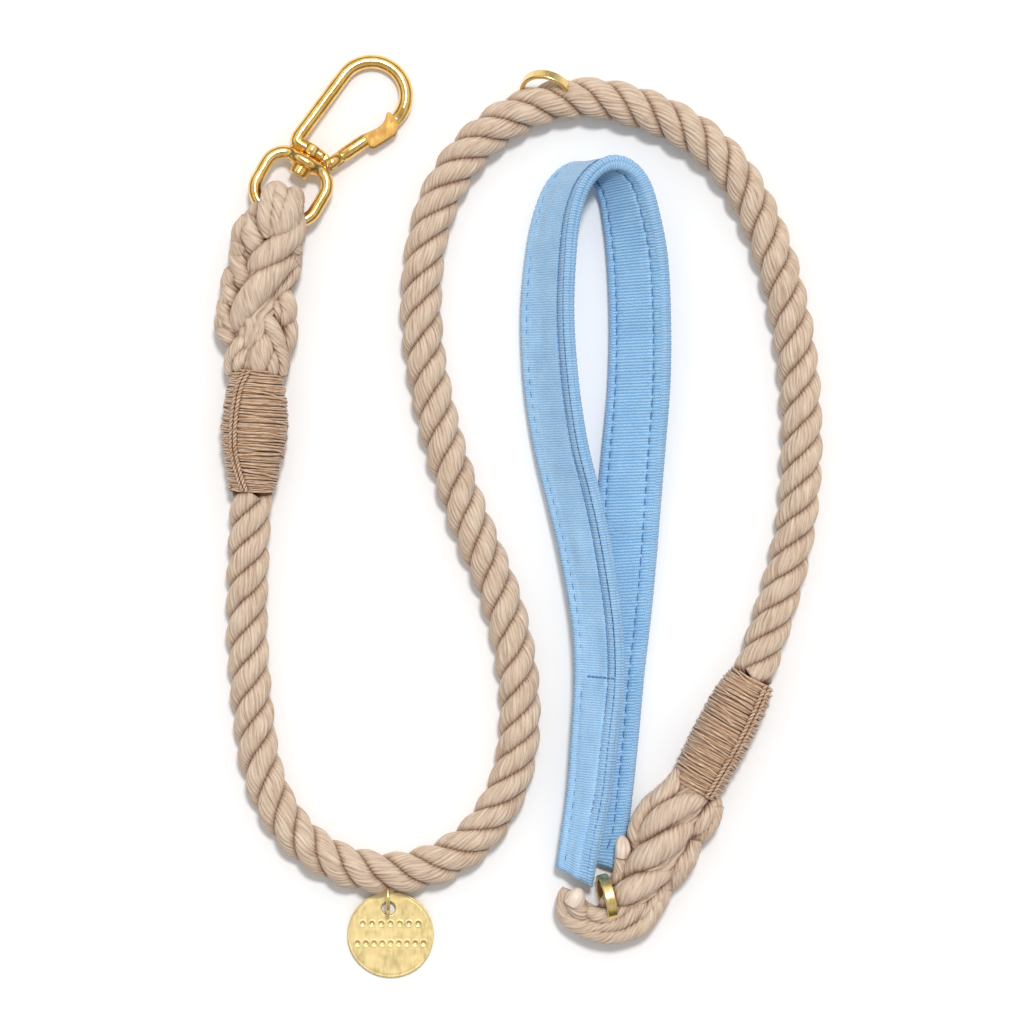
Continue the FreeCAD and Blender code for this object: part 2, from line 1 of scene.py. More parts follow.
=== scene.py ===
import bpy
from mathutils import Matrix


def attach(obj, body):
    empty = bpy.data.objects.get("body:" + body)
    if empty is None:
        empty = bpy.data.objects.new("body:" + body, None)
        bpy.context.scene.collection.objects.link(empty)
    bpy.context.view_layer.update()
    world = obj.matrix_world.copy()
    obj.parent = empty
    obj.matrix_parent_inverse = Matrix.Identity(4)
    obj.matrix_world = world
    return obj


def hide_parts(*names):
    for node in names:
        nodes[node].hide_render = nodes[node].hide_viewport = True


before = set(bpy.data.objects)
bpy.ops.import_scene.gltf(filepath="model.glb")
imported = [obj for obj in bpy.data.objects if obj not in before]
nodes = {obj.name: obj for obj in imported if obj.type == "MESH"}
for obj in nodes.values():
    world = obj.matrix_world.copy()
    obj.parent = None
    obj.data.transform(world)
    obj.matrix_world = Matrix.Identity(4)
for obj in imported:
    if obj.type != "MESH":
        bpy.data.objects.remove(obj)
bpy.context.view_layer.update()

import math

import bpy
import numpy as np
from mathutils import Matrix

MM = 0.001
TAU = 2 * math.pi

# ------------------------------------------------------------------ the camera and the free rope come first
VIEW_WIDTH = 0.3092
VIEW_CENTRE = (0.0157, -0.0121)
VIEW_LEVEL = 0.008
LENS, SENSOR = 200, 36
camera_data = bpy.data.cameras.new("camera")
camera_data.lens = LENS
camera_data.sensor_width = SENSOR
camera_data.clip_end = 10
camera = bpy.data.objects.new("camera", camera_data)
camera.location = (*VIEW_CENTRE, VIEW_WIDTH / SENSOR * LENS + VIEW_LEVEL)
bpy.context.scene.collection.objects.link(camera)
bpy.context.scene.camera = camera

# the height of the rope's middle where it lies on the ground, and the points of its run, in metres
LIE = 0.0064
ROUTE = [
    (-0.0628, -0.0060, 0.0082), (-0.0649, -0.0340, LIE), (-0.0636, -0.0660, LIE), (-0.0595, -0.0962, LIE),
    (-0.0452, -0.1156, LIE), (-0.0220, -0.1230, LIE), (0.0012, -0.1158, LIE), (0.0155, -0.0964, LIE),
    (0.0192, -0.0700, LIE), (0.0140, -0.0400, LIE), (0.0015, -0.0120, LIE), (-0.0085, 0.0200, LIE),
    (-0.0130, 0.0530, LIE), (-0.0075, 0.0840, LIE), (0.0090, 0.1050, LIE), (0.0330, 0.1148, LIE),
    (0.0595, 0.1095, LIE), (0.0815, 0.0950, LIE), (0.0950, 0.0685, LIE), (0.1023, 0.0360, LIE),
    (0.1038, 0.0030, LIE), (0.0996, -0.0310, LIE), (0.0882, -0.0622, 0.0082),
]


def route_line():
    """Points of the rope's own smooth line, in millimetres."""
    curve = bpy.data.curves.new("rope_line", "CURVE")
    curve.dimensions = "3D"
    curve.resolution_u = 40
    spline = curve.splines.new("NURBS")
    spline.points.add(len(ROUTE) - 1)
    for point, place in zip(spline.points, ROUTE):
        point.co = (*place, 1)
    spline.order_u = 3
    spline.use_endpoint_u = True
    holder = bpy.data.objects.new("rope_line", curve)
    mesh = bpy.data.meshes.new_from_object(holder)
    line = np.array([v.co for v in mesh.vertices]) / MM
    bpy.data.objects.remove(holder)
    bpy.data.meshes.remove(mesh)
    return line


# ------------------------------------------------------------------ mesh making
def arc_length(line):
    return np.r_[0, np.cumsum(np.linalg.norm(np.diff(line[:, :3], axis=0), axis=1))]


def resample(line, step):
    """Evenly spaced rows of a line, whatever columns it has, and their distances along it."""
    d = arc_length(line)
    s = np.linspace(0, d[-1], max(int(round(d[-1] / step)), 2) + 1)
    return np.stack([np.interp(s, d, line[:, k]) for k in range(line.shape[1])], 1), s


def smooth_line(points, step):
    """A smooth line through given points; further columns, such as a radius, go along with it."""
    p = np.array(points, float)
    e = np.vstack([2 * p[0] - p[1], p, 2 * p[-1] - p[-2]])
    rows = []
    t = np.linspace(0, 1, 24, endpoint=False)[:, None]
    for a, b, c, d in zip(e, e[1:], e[2:], e[3:]):
        rows.append(0.5 * (2 * b + (c - a) * t + (2 * a - 5 * b + 4 * c - d) * t ** 2
                           + (3 * b - a - 3 * c + d) * t ** 3))
    return resample(np.vstack(rows + [p[-1:]]), step)


def unit(v):
    return v / np.maximum(np.linalg.norm(v, axis=-1, keepdims=True), 1e-12)


def directions(line):
    """Tangent, normal and third direction at each point, turning as little as they can."""
    tangent = unit(np.gradient(line, axis=0))
    normal = np.zeros_like(line)
    n = np.array((0.0, 0.0, 1.0))
    if abs(n @ tangent[0]) > 0.95:
        n = np.array((1.0, 0.0, 0.0))
    for i, t in enumerate(tangent):
        n = n - t * (n @ t)
        n = n / np.linalg.norm(n)
        normal[i] = n
    return tangent, normal, np.cross(tangent, normal)


def wobble(x, length, seed):
    """Smooth noise of about -1 to 1 along x, with that wavelength."""
    r = np.random.default_rng(seed)
    total = 0
    for k, share in ((1, 0.5), (1.9, 0.3), (3.7, 0.2)):
        total = total + share * np.sin(x * TAU * k / length + r.uniform(0, TAU))
    return total


class Build:
    """Collects swept grids into one mesh."""

    def __init__(self):
        self.verts, self.faces, self.uvs, self.marks, self.count = [], [], [], [], 0

    def grid(self, p, u=None, v=None, mark=0, closed=False):
        """Rings of points, each joined to the next. Mark is the material's number, for all columns or for each."""
        n, m = p.shape[:2]
        rows = n if closed else n - 1
        i, j = np.meshgrid(np.arange(rows), np.arange(m), indexing="ij")
        ni, nj = (i + 1) % n, (j + 1) % m
        quads = np.stack([i * m + j, i * m + nj, ni * m + nj, ni * m + j], -1).reshape(-1, 4) + self.count
        self.faces += quads.tolist()
        if u is None:
            u = v = np.zeros((n + 1, m + 1))
        uv = np.stack([
            np.stack([u[i, j], v[i, j]], -1), np.stack([u[i, j + 1], v[i, j + 1]], -1),
            np.stack([u[i + 1, j + 1], v[i + 1, j + 1]], -1), np.stack([u[i + 1, j], v[i + 1, j]], -1),
        ], 2)
        self.uvs.append(uv.reshape(-1, 2))
        marks = np.broadcast_to(mark, (m,))
        self.marks += np.broadcast_to(marks, (rows, m)).reshape(-1).tolist()
        if not closed:
            self.faces.append([self.count + k for k in reversed(range(m))])
            self.faces.append([self.count + (n - 1) * m + k for k in range(m)])
            self.uvs.append(np.zeros((2 * m, 2)))
            self.marks += [int(marks[0])] * 2
        self.verts.append(p.reshape(-1, 3))
        self.count += n * m

    def make(self, name, *materials, world=None):
        mesh = bpy.data.meshes.new(name)
        co = np.vstack(self.verts)
        if world is not None:
            co = co @ np.array(world.to_3x3()).T + np.array(world.translation)
        mesh.from_pydata((co * MM).tolist(), [], self.faces)
        layer = mesh.uv_layers.new(name="UVMap")
        layer.data.foreach_set("uv", (np.vstack(self.uvs) * MM).astype(np.float32).reshape(-1))
        mesh.polygons.foreach_set("material_index", np.array(self.marks, np.int32))
        mesh.polygons.foreach_set("use_smooth", np.ones(len(mesh.polygons), bool))
        for m in materials:
            mesh.materials.append(m)
        mesh.update()
        obj = bpy.data.objects.new(name, mesh)
        bpy.context.scene.collection.objects.link(obj)
        return obj


def hand_over(piece, body, slot, *replaced):
    """Hides the solids that a finished piece stands for and ties the piece to its body. The slot is not used."""
    if replaced:
        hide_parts(*replaced)
    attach(piece, body)


def yarn_strand(build, line, radius, yarns, twist, ripple, segments, seed, outward=None):
    """A strand of yarns laid along a line. Its yarns turn round it by twist radians a millimetre."""
    s = arc_length(line)
    n = len(line)
    radius = np.broadcast_to(radius, (n,)).astype(float)
    if outward is None:
        _, normal, third = directions(line)
    else:
        tangent = unit(np.gradient(line, axis=0))
        normal = unit(outward - tangent * np.sum(outward * tangent, 1, keepdims=True))
        third = np.cross(tangent, normal)
    psi = np.linspace(0, TAU, segments, endpoint=False)
    turn = twist * s + 0.25 * wobble(s, 23, seed)
    waver = 0.5 * np.sin(psi[None] * 3 + seed) * np.sin(TAU * s / 13 + seed)[:, None]
    ridges = np.abs(np.cos(yarns * psi[None] / 2 + waver)) - 0.64
    coarse = 0.35 * wobble(psi, TAU / 2, seed + 2)[None] + 0.35 * wobble(s, 9, seed + 3)[:, None]
    r = radius[:, None] + ripple * (ridges + coarse)
    angle = psi[None] + turn[:, None]
    p = line[:, None] + r[..., None] * (
        np.cos(angle)[..., None] * normal[:, None] + np.sin(angle)[..., None] * third[:, None])
    u = np.tile(np.linspace(0, TAU, segments + 1) * float(radius.mean()), (n, 1))
    v = np.repeat(s[:, None], segments + 1, 1) + seed * 7.0
    build.grid(p, u, v)


def plain_tube(build, line, radius, segments):
    _, normal, third = directions(line)
    psi = np.linspace(0, TAU, segments, endpoint=False)
    radius = np.broadcast_to(radius, (len(line),))
    p = line[:, None] + radius[:, None, None] * (
        np.cos(psi)[None, :, None] * normal[:, None] + np.sin(psi)[None, :, None] * third[:, None])
    s = arc_length(line)
    u = np.tile(np.linspace(0, TAU, segments + 1) * float(radius.mean()), (len(line), 1))
    v = np.repeat(s[:, None], segments + 1, 1)
    build.grid(p, u, v)


# ------------------------------------------------------------------ materials
def srgb(text):
    c = [int(text[k:k + 2], 16) / 255 for k in (1, 3, 5)]
    return tuple(x / 12.92 if x <= 0.04045 else ((x + 0.055) / 1.055) ** 2.4 for x in c) + (1,)


class Nodes:
    def __init__(self, name):
        self.material = bpy.data.materials.new(name)
        self.material.use_nodes = True
        self.tree = self.material.node_tree
        self.shader = self.tree.nodes["Principled BSDF"]

    def add(self, kind, **values):
        node = self.tree.nodes.new("ShaderNode" + kind)
        for key, value in values.items():
            setattr(node, key, value)
        return node

    def link(self, source, target):
        self.tree.links.new(source, target)

    def set(self, **values):
        for key, value in values.items():
            self.shader.inputs[key.replace("_", " ")].default_value = value

    def noise(self, vector, scale, detail=3.0, rough=0.6):
        node = self.add("TexNoise")
        node.inputs["Scale"].default_value = scale
        node.inputs["Detail"].default_value = detail
        node.inputs["Roughness"].default_value = rough
        self.link(vector, node.inputs["Vector"])
        return node.outputs["Fac"]

    def stretched(self, x, y, z=1.0, source="UV"):
        coords = self.add("TexCoord")
        mapping = self.add("Mapping")
        mapping.inputs["Scale"].default_value = (x, y, z)
        self.link(coords.outputs[source], mapping.inputs["Vector"])
        return mapping.outputs["Vector"]

    def ramp(self, fac, *stops):
        node = self.add("ValToRGB")
        ramp = node.color_ramp
        while len(ramp.elements) < len(stops):
            ramp.elements.new(0.5)
        for element, (at, colour) in zip(ramp.elements, stops):
            element.position = at
            element.color = srgb(colour) if isinstance(colour, str) else (colour, colour, colour, 1)
        self.link(fac, node.inputs["Fac"])
        return node.outputs["Color"]

    def feed(self, value, socket):
        """Sets a plain value, or links an output."""
        if isinstance(value, (int, float, tuple)):
            socket.default_value = value
        else:
            self.link(value, socket)

    def mix(self, fac, a, b, mode="MIX"):
        node = self.add("Mix", data_type="RGBA", blend_type=mode)
        for value, at in ((fac, 0), (a, 6), (b, 7)):
            self.feed(value, node.inputs[at])
        return node.outputs[2]

    def math(self, mode, a, b=0.0):
        node = self.add("Math", operation=mode)
        for at, value in enumerate((a, b)):
            self.feed(value, node.inputs[at])
        return node.outputs[0]

    def bump(self, height, strength, distance, normal=None):
        node = self.add("Bump")
        node.inputs["Strength"].default_value = strength
        node.inputs["Distance"].default_value = distance
        self.link(height, node.inputs["Height"])
        if normal is not None:
            self.link(normal, node.inputs["Normal"])
        return node.outputs["Normal"]

    def colour(self, value):
        self.link(value, self.shader.inputs["Base Color"])

    def rough(self, value):
        self.link(value, self.shader.inputs["Roughness"])

    def normal(self, value):
        self.link(value, self.shader.inputs["Normal"])


def fibre_material(name, light, mid, dark, shade_colour, fibre, sheen, rough, gap):
    """Yarn or thread: fine fibres along the strand, mottled colour, and painted shade in the gaps, where ambient
    occlusion pulls the colour towards a warm dark shade colour.
    """
    m = Nodes(name)
    fine = m.noise(m.stretched(1 / fibre, 1 / (fibre * 14)), 1.0, 4.0)
    broad = m.noise(m.stretched(1 / (fibre * 4), 1 / (fibre * 28)), 1.0, 3.0)
    both = m.mix(0.45, fine, broad)
    base = m.ramp(both, (0.36, dark), (0.5, mid), (0.62, light))
    # painted shade: where ambient occlusion finds other surfaces within gap metres, the colour is multiplied by the
    # warm dark shade colour
    shade = m.add("AmbientOcclusion", samples=6)
    shade.inputs["Distance"].default_value = gap
    open_share = m.math("POWER", shade.outputs["AO"], 1.7)
    m.colour(m.mix(open_share, m.mix(1.0, base, srgb(shade_colour), "MULTIPLY"), base))
    m.set(Roughness=rough, Sheen_Weight=sheen, Sheen_Roughness=0.5, Specular_IOR_Level=0.25)
    m.normal(m.bump(both, 0.8, 0.00028))
    return m.material


def brass_material(name, light, dark, rough, soften, worn=0.35):
    """Polished or brushed metal with faint scratches, cloudy tarnish and softened edges."""
    m = Nodes(name)
    cloud = m.noise(m.stretched(1, 1, 1, "Object"), 260.0, 4.0, 0.65)
    speck = m.noise(m.stretched(1500, 260, 900, "Object"), 1.0, 3.0)
    m.colour(m.ramp(m.mix(0.35, cloud, speck), (0.3, dark), (0.6, light)))
    m.set(Metallic=1.0)
    m.rough(m.ramp(m.mix(worn, cloud, speck), (0.3, rough * 0.75), (0.7, min(rough * 1.7, 0.9))))
    bevel = m.add("Bevel", samples=6)
    bevel.inputs["Radius"].default_value = soften
    m.normal(m.bump(speck, 0.10, 0.00006, bevel.outputs["Normal"]))
    return m.material


def cloth_material(name, light, mid, dark, pitch, depth, slub):
    """Cotton cloth with ribs across the strap (the V of its UV runs along the strap)."""
    m = Nodes(name)
    warp = m.noise(m.stretched(900, 500), 1.0, 3.0)
    split = m.add("SeparateXYZ")
    m.link(m.stretched(1, 1), split.inputs[0])
    bent = m.math("ADD", m.math("MULTIPLY", split.outputs["Y"], TAU / pitch), m.math("MULTIPLY", warp, 4.2))
    rib = m.math("ADD", m.math("MULTIPLY", m.math("SINE", bent), 0.5), 0.5)
    cross = m.math("SINE", m.math("ADD", m.math("MULTIPLY", split.outputs["X"], TAU / (pitch * 0.6)),
                                  m.math("MULTIPLY", warp, 3.0)))
    knit = m.math("ADD", rib, m.math("MULTIPLY", cross, 0.22))
    fluff = m.noise(m.stretched(2600, 2600), 1.0, 3.0)
    wide = m.noise(m.stretched(160, 110), 1.0, 3.0)
    value = m.math("ADD", m.math("MULTIPLY", knit, depth), m.math("MULTIPLY", fluff, slub))
    value = m.math("ADD", value, m.math("MULTIPLY", wide, 0.35))
    m.colour(m.ramp(value, (0.30, dark), (0.62, mid), (1.0, light)))
    m.set(Roughness=0.88, Sheen_Weight=0.35, Sheen_Roughness=0.45, Specular_IOR_Level=0.2)
    m.normal(m.bump(m.math("ADD", knit, fluff), 0.7, 0.00022))
    return m.material


# the fourth colour of each fibre material is painted shade, for the gaps between strands, yarns and turns
rope_cotton = fibre_material("rope_cotton", "#EAD7C3", "#D9C1A9", "#B0917A", "#8C664A",
                             fibre=0.00026, sheen=0.15, rough=0.9, gap=0.0022)
splice_cotton = fibre_material("splice_cotton", "#EAD7C4", "#D8C0A9", "#AE8F78", "#8C664A",
                               fibre=0.00026, sheen=0.15, rough=0.9, gap=0.0026)
# the glued tail tips are really glossy (low roughness); their colour, lighter than the rope, is a painted highlight
tail_glue_and_highlight = fibre_material("tail_glue_and_highlight", "#F6EADB", "#E6D2BE", "#C4A78E", "#A88870",
                           fibre=0.0004, sheen=0.0, rough=0.3, gap=0.001)
whip_thread = fibre_material("whip_thread", "#F6DABE", "#D6B08E", "#9C7252", "#663E24",
                             fibre=0.00014, sheen=0.3, rough=0.45, gap=0.0008)
core_brown = fibre_material("core_brown", "#B08F72", "#9A7A5E", "#7E6048", "#7E6048",
                            fibre=0.0004, sheen=0.0, rough=0.95, gap=0.001)
# the stitch thread is darker than the cloth: its own blue, plus painted shade of the needle holes and seams
stitch_blue_and_shade = fibre_material("stitch_blue_and_shade", "#6FA3D8", "#5A90CA", "#477CB8", "#3A6CA8",
                             fibre=0.0001, sheen=0.1, rough=0.7, gap=0.0006)
cover_blue = cloth_material("cover_blue", "#D2E9FE", "#AED8FB", "#84B6E8", pitch=0.00075, depth=0.15, slub=0.60)
lining_blue = cloth_material("lining_blue", "#BCDDF5", "#93C5EC", "#6FA8DC", pitch=0.00093, depth=0.55, slub=0.34)
binding_blue = cloth_material("binding_blue", "#BEDAF2", "#9AC6EB", "#78ABDC", pitch=0.00080, depth=0.46, slub=0.40)
brass = brass_material("brass", "#FFDA8C", "#E3A843", rough=0.12, soften=0.0002)
brass_gate = brass_material("brass_gate", "#D8B06A", "#CEA55C", rough=0.60, soften=0.0002)
brass_band = brass_material("brass_band", "#FCE4A4", "#E3BA60", rough=0.20, soften=0.00025)
brass_tag = brass_material("brass_tag", "#F6DFA4", "#EFD694", rough=0.38, soften=0.0002, worn=0.5)
steel = brass_material("steel", "#C9C4BA", "#8F8B84", rough=0.3, soften=0.0001)

# ------------------------------------------------------------------ the rope, in millimetres from here on
LAY = 27.6
STRAND_RADIUS, STRAND_OFFSET = 3.22, 3.12
rope_line, along = resample(route_line(), 0.6)
_, up, side = directions(rope_line)
rope = Build()
for k in range(3):
    phase = TAU * (along / LAY + k / 3) + 0.10 * wobble(along, 90, 40)
    away = np.cos(phase)[:, None] * up + np.sin(phase)[:, None] * side
    offset = STRAND_OFFSET + 0.05 * wobble(along, 60, 50 + k)
    yarn_strand(rope, rope_line + away * offset[:, None], STRAND_RADIUS + 0.07 * wobble(along, 34, 60 + k),
                yarns=13, twist=-0.44, ripple=0.27, segments=84, seed=70 + k, outward=away)
rope_piece = rope.make("rope_strands", rope_cotton)
hand_over(rope_piece, "lead", "rope", "rope")

# ------------------------------------------------------------------ splices, from strands (x, y, z, radius)
HOOK_STRANDS = [
    [(-57.4, 71.0, 4.6, 2.8), (-58.2, 77.0, 3.0, 3.0), (-57.0, 82.4, 4.6, 3.2), (-55.7, 84.6, 7.6, 3.3),
     (-54.7, 83.6, 10.8, 3.3), (-54.3, 80.4, 12.9, 3.3), (-54.7, 76.2, 13.6, 3.2), (-55.7, 72.4, 12.2, 3.0),
     (-57.0, 69.0, 9.0, 2.7)],
    [(-53.0, 68.0, 5.0, 2.9), (-51.2, 74.0, 3.6, 3.0), (-50.4, 80.0, 4.2, 3.1), (-50.1, 82.9, 7.6, 3.2),
     (-50.6, 82.0, 11.2, 3.3), (-51.4, 78.8, 13.4, 3.4), (-52.8, 74.8, 13.6, 3.5), (-54.6, 71.2, 11.4, 3.3),
     (-56.4, 68.2, 8.0, 2.9)],
    [(-60.2, 79.5, 4.6, 2.6), (-62.2, 76.4, 8.6, 3.2), (-62.6, 72.8, 10.4, 3.7), (-61.4, 69.0, 10.6, 3.8),
     (-59.0, 65.6, 8.6, 3.4), (-56.6, 63.0, 6.2, 2.8)],
    [(-63.8, 76.2, 5.2, 2.4), (-66.0, 72.6, 7.4, 2.9), (-65.9, 69.0, 8.6, 3.0), (-64.0, 65.4, 8.4, 2.8),
     (-61.8, 62.4, 6.6, 2.4)],
    [(-51.4, 80.0, 5.6, 2.6), (-49.7, 76.4, 9.4, 3.1), (-50.6, 71.8, 11.9, 3.8), (-54.6, 67.6, 12.8, 4.1),
     (-58.7, 64.4, 12.5, 4.0), (-61.5, 61.0, 10.2, 3.5), (-63.0, 57.6, 6.6, 3.0)],
    [(-66.2, 69.2, 5.4, 2.4), (-66.8, 64.6, 8.4, 3.1), (-65.8, 60.0, 10.0, 3.5), (-63.4, 56.0, 9.4, 3.4),
     (-60.4, 52.6, 7.0, 2.8)],
    [(-68.8, 60.6, 5.2, 2.2), (-69.6, 56.8, 7.8, 2.8), (-68.4, 52.6, 9.2, 3.1), (-65.8, 49.4, 8.6, 2.7),
     (-63.4, 47.0, 6.8, 2.2)],
    [(-50.4, 68.8, 4.6, 2.4), (-50.6, 65.0, 8.6, 2.9), (-54.6, 61.2, 11.6, 3.6), (-59.4, 56.4, 13.0, 4.2),
     (-63.4, 51.2, 12.9, 4.3), (-65.8, 46.4, 11.0, 3.8), (-66.4, 42.4, 7.4, 3.2)],
    [(-49.6, 65.4, 5.6, 1.9), (-49.8, 61.6, 8.4, 2.0), (-51.4, 58.0, 10.4, 1.9), (-54.2, 54.6, 11.4, 1.7),
     (-57.6, 51.0, 11.0, 1.5)],
    [(-55.0, 63.0, 9.0, 1.5), (-53.8, 59.6, 11.0, 1.7), (-55.4, 56.2, 11.8, 1.7), (-58.2, 52.4, 11.2, 1.5)],
    [(-54.6, 55.6, 8.2, 2.2), (-52.8, 52.6, 10.4, 2.6), (-51.8, 49.0, 10.6, 2.7), (-53.2, 45.8, 9.6, 2.6),
     (-55.8, 44.2, 8.0, 2.2)],
    [(-56.8, 53.0, 9.2, 1.8), (-55.4, 50.2, 10.8, 2.1), (-54.8, 47.2, 10.6, 2.0), (-56.0, 45.0, 9.0, 1.8)],
    [(-69.6, 53.0, 6.0, 2.0), (-71.0, 50.0, 8.6, 2.5), (-70.0, 46.4, 10.0, 2.6), (-67.6, 43.6, 9.4, 2.4),
     (-65.0, 41.4, 7.4, 2.0)],
    [(-71.2, 48.0, 5.4, 2.0), (-71.8, 44.6, 7.8, 2.4), (-70.2, 41.2, 9.2, 2.5), (-67.4, 38.8, 8.8, 2.3),
     (-64.6, 37.0, 7.0, 2.0)],
    [(-60.4, 49.4, 9.6, 1.8), (-61.9, 46.2, 11.8, 2.3), (-61.6, 42.4, 12.2, 2.4), (-61.4, 39.2, 10.8, 2.1),
     (-61.8, 36.6, 8.4, 1.6)],
    [(-61.6, 49.0, 9.4, 1.8), (-59.0, 46.8, 12.0, 2.3), (-56.4, 42.6, 12.6, 2.6), (-54.6, 37.8, 11.8, 2.6),
     (-53.8, 33.4, 10.4, 2.4), (-54.2, 29.5, 9.0, 2.2)],
    [(-52.0, 47.0, 7.0, 2.0), (-51.4, 43.6, 8.8, 2.5), (-51.8, 40.0, 9.4, 2.6), (-53.2, 36.4, 8.8, 2.4),
     (-54.0, 31.0, 7.4, 2.4)],
    [(-62.6, 42.0, 9.0, 1.9), (-65.0, 39.6, 11.0, 2.4), (-67.4, 36.8, 10.6, 2.5), (-68.8, 33.4, 9.0, 2.4),
     (-68.6, 29.5, 8.0, 2.3)],
    [(-60.8, 39.4, 9.0, 1.8), (-63.2, 36.8, 11.2, 2.2), (-65.6, 34.2, 11.4, 2.4), (-66.4, 30.4, 10.4, 2.4)],
    [(-57.6, 43.4, 9.4, 1.8), (-58.2, 40.2, 11.8, 2.8), (-59.4, 36.4, 12.6, 3.5), (-60.8, 32.4, 12.0, 3.6),
     (-61.0, 28.8, 10.0, 3.0)],
    [(-57.0, 38.0, 10.0, 1.8), (-56.6, 35.0, 11.8, 2.3), (-56.8, 31.4, 11.8, 2.4), (-57.4, 28.6, 10.0, 2.2)],
]
HANDLE_STRANDS = [
    [(67.6, -91.0, 9.6, 3.0), (63.6, -95.6, 10.8, 3.1), (60.2, -99.0, 10.6, 3.0), (58.4, -102.6, 8.6, 2.7)],
    [(62.4, -97.0, 7.2, 2.6), (58.4, -99.8, 8.9, 3.0), (55.0, -104.6, 9.2, 3.1), (53.4, -109.6, 8.6, 2.9),
     (54.0, -114.6, 6.8, 2.5)],
    [(73.6, -96.4, 9.6, 2.6), (70.9, -98.6, 12.0, 3.2), (65.6, -101.2, 13.3, 3.7), (60.4, -104.6, 13.0, 3.7),
     (57.0, -108.4, 11.0, 3.2), (55.4, -112.4, 7.8, 2.6)],
    [(69.6, -104.0, 8.6, 2.6), (67.2, -107.6, 11.6, 3.4), (61.9, -112.3, 13.2, 4.1), (56.4, -115.8, 12.6, 4.0),
     (52.6, -118.8, 10.2, 3.2), (50.8, -122.2, 7.4, 2.4)],
    [(63.4, -118.0, 7.8, 2.4), (60.6, -121.0, 10.8, 3.1), (54.6, -124.3, 12.2, 3.8), (49.2, -127.4, 11.4, 3.6),
     (45.4, -129.6, 8.8, 2.8), (43.6, -132.0, 6.0, 2.2)],
    [(76.0, -97.0, 7.6, 2.3), (76.2, -101.2, 9.2, 2.8), (73.2, -105.2, 10.2, 2.9), (69.6, -108.4, 9.4, 2.5),
     (66.8, -111.0, 7.4, 2.1)],
    [(77.4, -100.6, 5.6, 2.1), (76.0, -105.4, 6.8, 2.6), (72.4, -109.4, 8.0, 2.7), (68.8, -112.4, 7.8, 2.4),
     (65.6, -114.6, 6.2, 2.0)],
    [(70.4, -109.4, 7.4, 2.0), (69.2, -113.4, 9.0, 2.5), (66.8, -117.4, 9.6, 2.8), (63.6, -121.0, 8.8, 2.6),
     (60.8, -123.6, 7.0, 2.2)],
    [(71.0, -111.0, 4.6, 2.0), (69.2, -116.4, 6.0, 2.6), (66.2, -120.6, 7.0, 2.8), (62.8, -124.6, 7.0, 2.7),
     (59.4, -128.0, 6.2, 2.3)],
    [(62.6, -122.6, 7.6, 2.0), (61.0, -126.4, 8.8, 2.6), (57.6, -130.8, 8.6, 2.8), (53.0, -134.6, 8.0, 2.7),
     (48.0, -137.0, 7.0, 2.4)],
    [(62.6, -125.8, 4.6, 2.0), (59.0, -131.6, 5.4, 2.7), (54.6, -137.0, 5.6, 2.9), (48.0, -139.4, 5.6, 2.9),
     (41.4, -139.2, 5.6, 2.8), (36.0, -137.0, 5.8, 2.5)],
    [(56.0, -127.6, 8.6, 2.0), (53.2, -131.6, 10.0, 2.5), (49.0, -135.2, 9.8, 2.7), (43.0, -136.8, 9.2, 2.7),
     (37.4, -135.8, 8.2, 2.5), (33.4, -133.2, 7.0, 2.3)],
    [(51.4, -129.0, 8.4, 2.0), (48.6, -131.8, 10.4, 2.3), (44.4, -134.0, 10.6, 2.4), (40.2, -133.4, 9.8, 2.2),
     (37.0, -131.2, 8.0, 2.0)],
    [(43.0, -137.4, 5.2, 2.6), (36.6, -136.6, 5.8, 3.1), (32.6, -133.4, 7.0, 3.3), (32.2, -129.4, 8.0, 3.2),
     (33.4, -126.4, 8.2, 2.6)],
    [(40.4, -134.6, 6.8, 2.4), (36.4, -132.6, 8.8, 3.0), (34.6, -129.6, 10.2, 3.2), (35.0, -127.4, 10.4, 2.8)],
    [(46.8, -124.6, 6.4, 2.2), (48.6, -121.4, 8.0, 2.5), (49.2, -117.8, 9.2, 2.6), (49.2, -114.6, 9.4, 2.4)],
]
HOOK_CORE = [(-57.6, 71.0, 8.2, 3.4), (-58.6, 64.0, 8.2, 6.0), (-60.2, 55.0, 8.2, 6.4), (-61.6, 46.0, 8.2, 7.0),
             (-61.0, 38.0, 8.2, 6.2), (-61.2, 28.0, 8.2, 6.0)]
HANDLE_CORE = [(70.8, -95.0, 8.2, 6.2), (66.6, -103.5, 8.2, 6.4), (62.6, -112.0, 8.2, 6.6), (58.0, -120.0, 7.8, 6.4),
               (53.4, -126.5, 7.4, 5.6), (48.6, -131.8, 7.0, 4.6), (42.0, -134.8, 6.4, 3.6), (36.4, -132.8, 6.4, 3.2)]
LEFT_TIP = [(34.2, -130.0, 10.4, 3.2), (35.0, -128.2, 11.2, 3.0), (35.6, -126.9, 10.6, 2.2), (35.9, -126.2, 9.8, 1.0)]
RIGHT_TIP = [(49.2, -116.0, 9.8, 2.5), (49.2, -114.2, 10.2, 2.5), (49.0, -112.0, 9.4, 2.2), (48.8, -110.2, 8.2, 1.2)]
LEAST_UNDERSIDE = 0.25


def splice(name, strands, core, middle, replaced, seed):
    """Plaited strands on both faces of a core of yarns. The lower face mirrors the upper one."""
    build = Build()
    for k, points in enumerate(strands):
        for under in (False, True):
            rows = [(x, y, (2 * middle(y) - z) if under else z, r) for x, y, z, r in points]
            strand, _ = smooth_line(rows, 0.55)
            strand[:, 2] += np.maximum(LEAST_UNDERSIDE - (strand[:, 2] - strand[:, 3]), 0)
            yarn_strand(build, strand[:, :3], strand[:, 3], yarns=11, twist=-0.30, ripple=0.26, segments=54,
                        seed=seed + k)
    inner, _ = smooth_line(core, 0.6)
    yarn_strand(build, inner[:, :3], inner[:, 3], yarns=17, twist=0.07, ripple=0.55, segments=110, seed=seed + 90)
    hand_over(build.make(name, splice_cotton), "lead", "rope", *replaced)


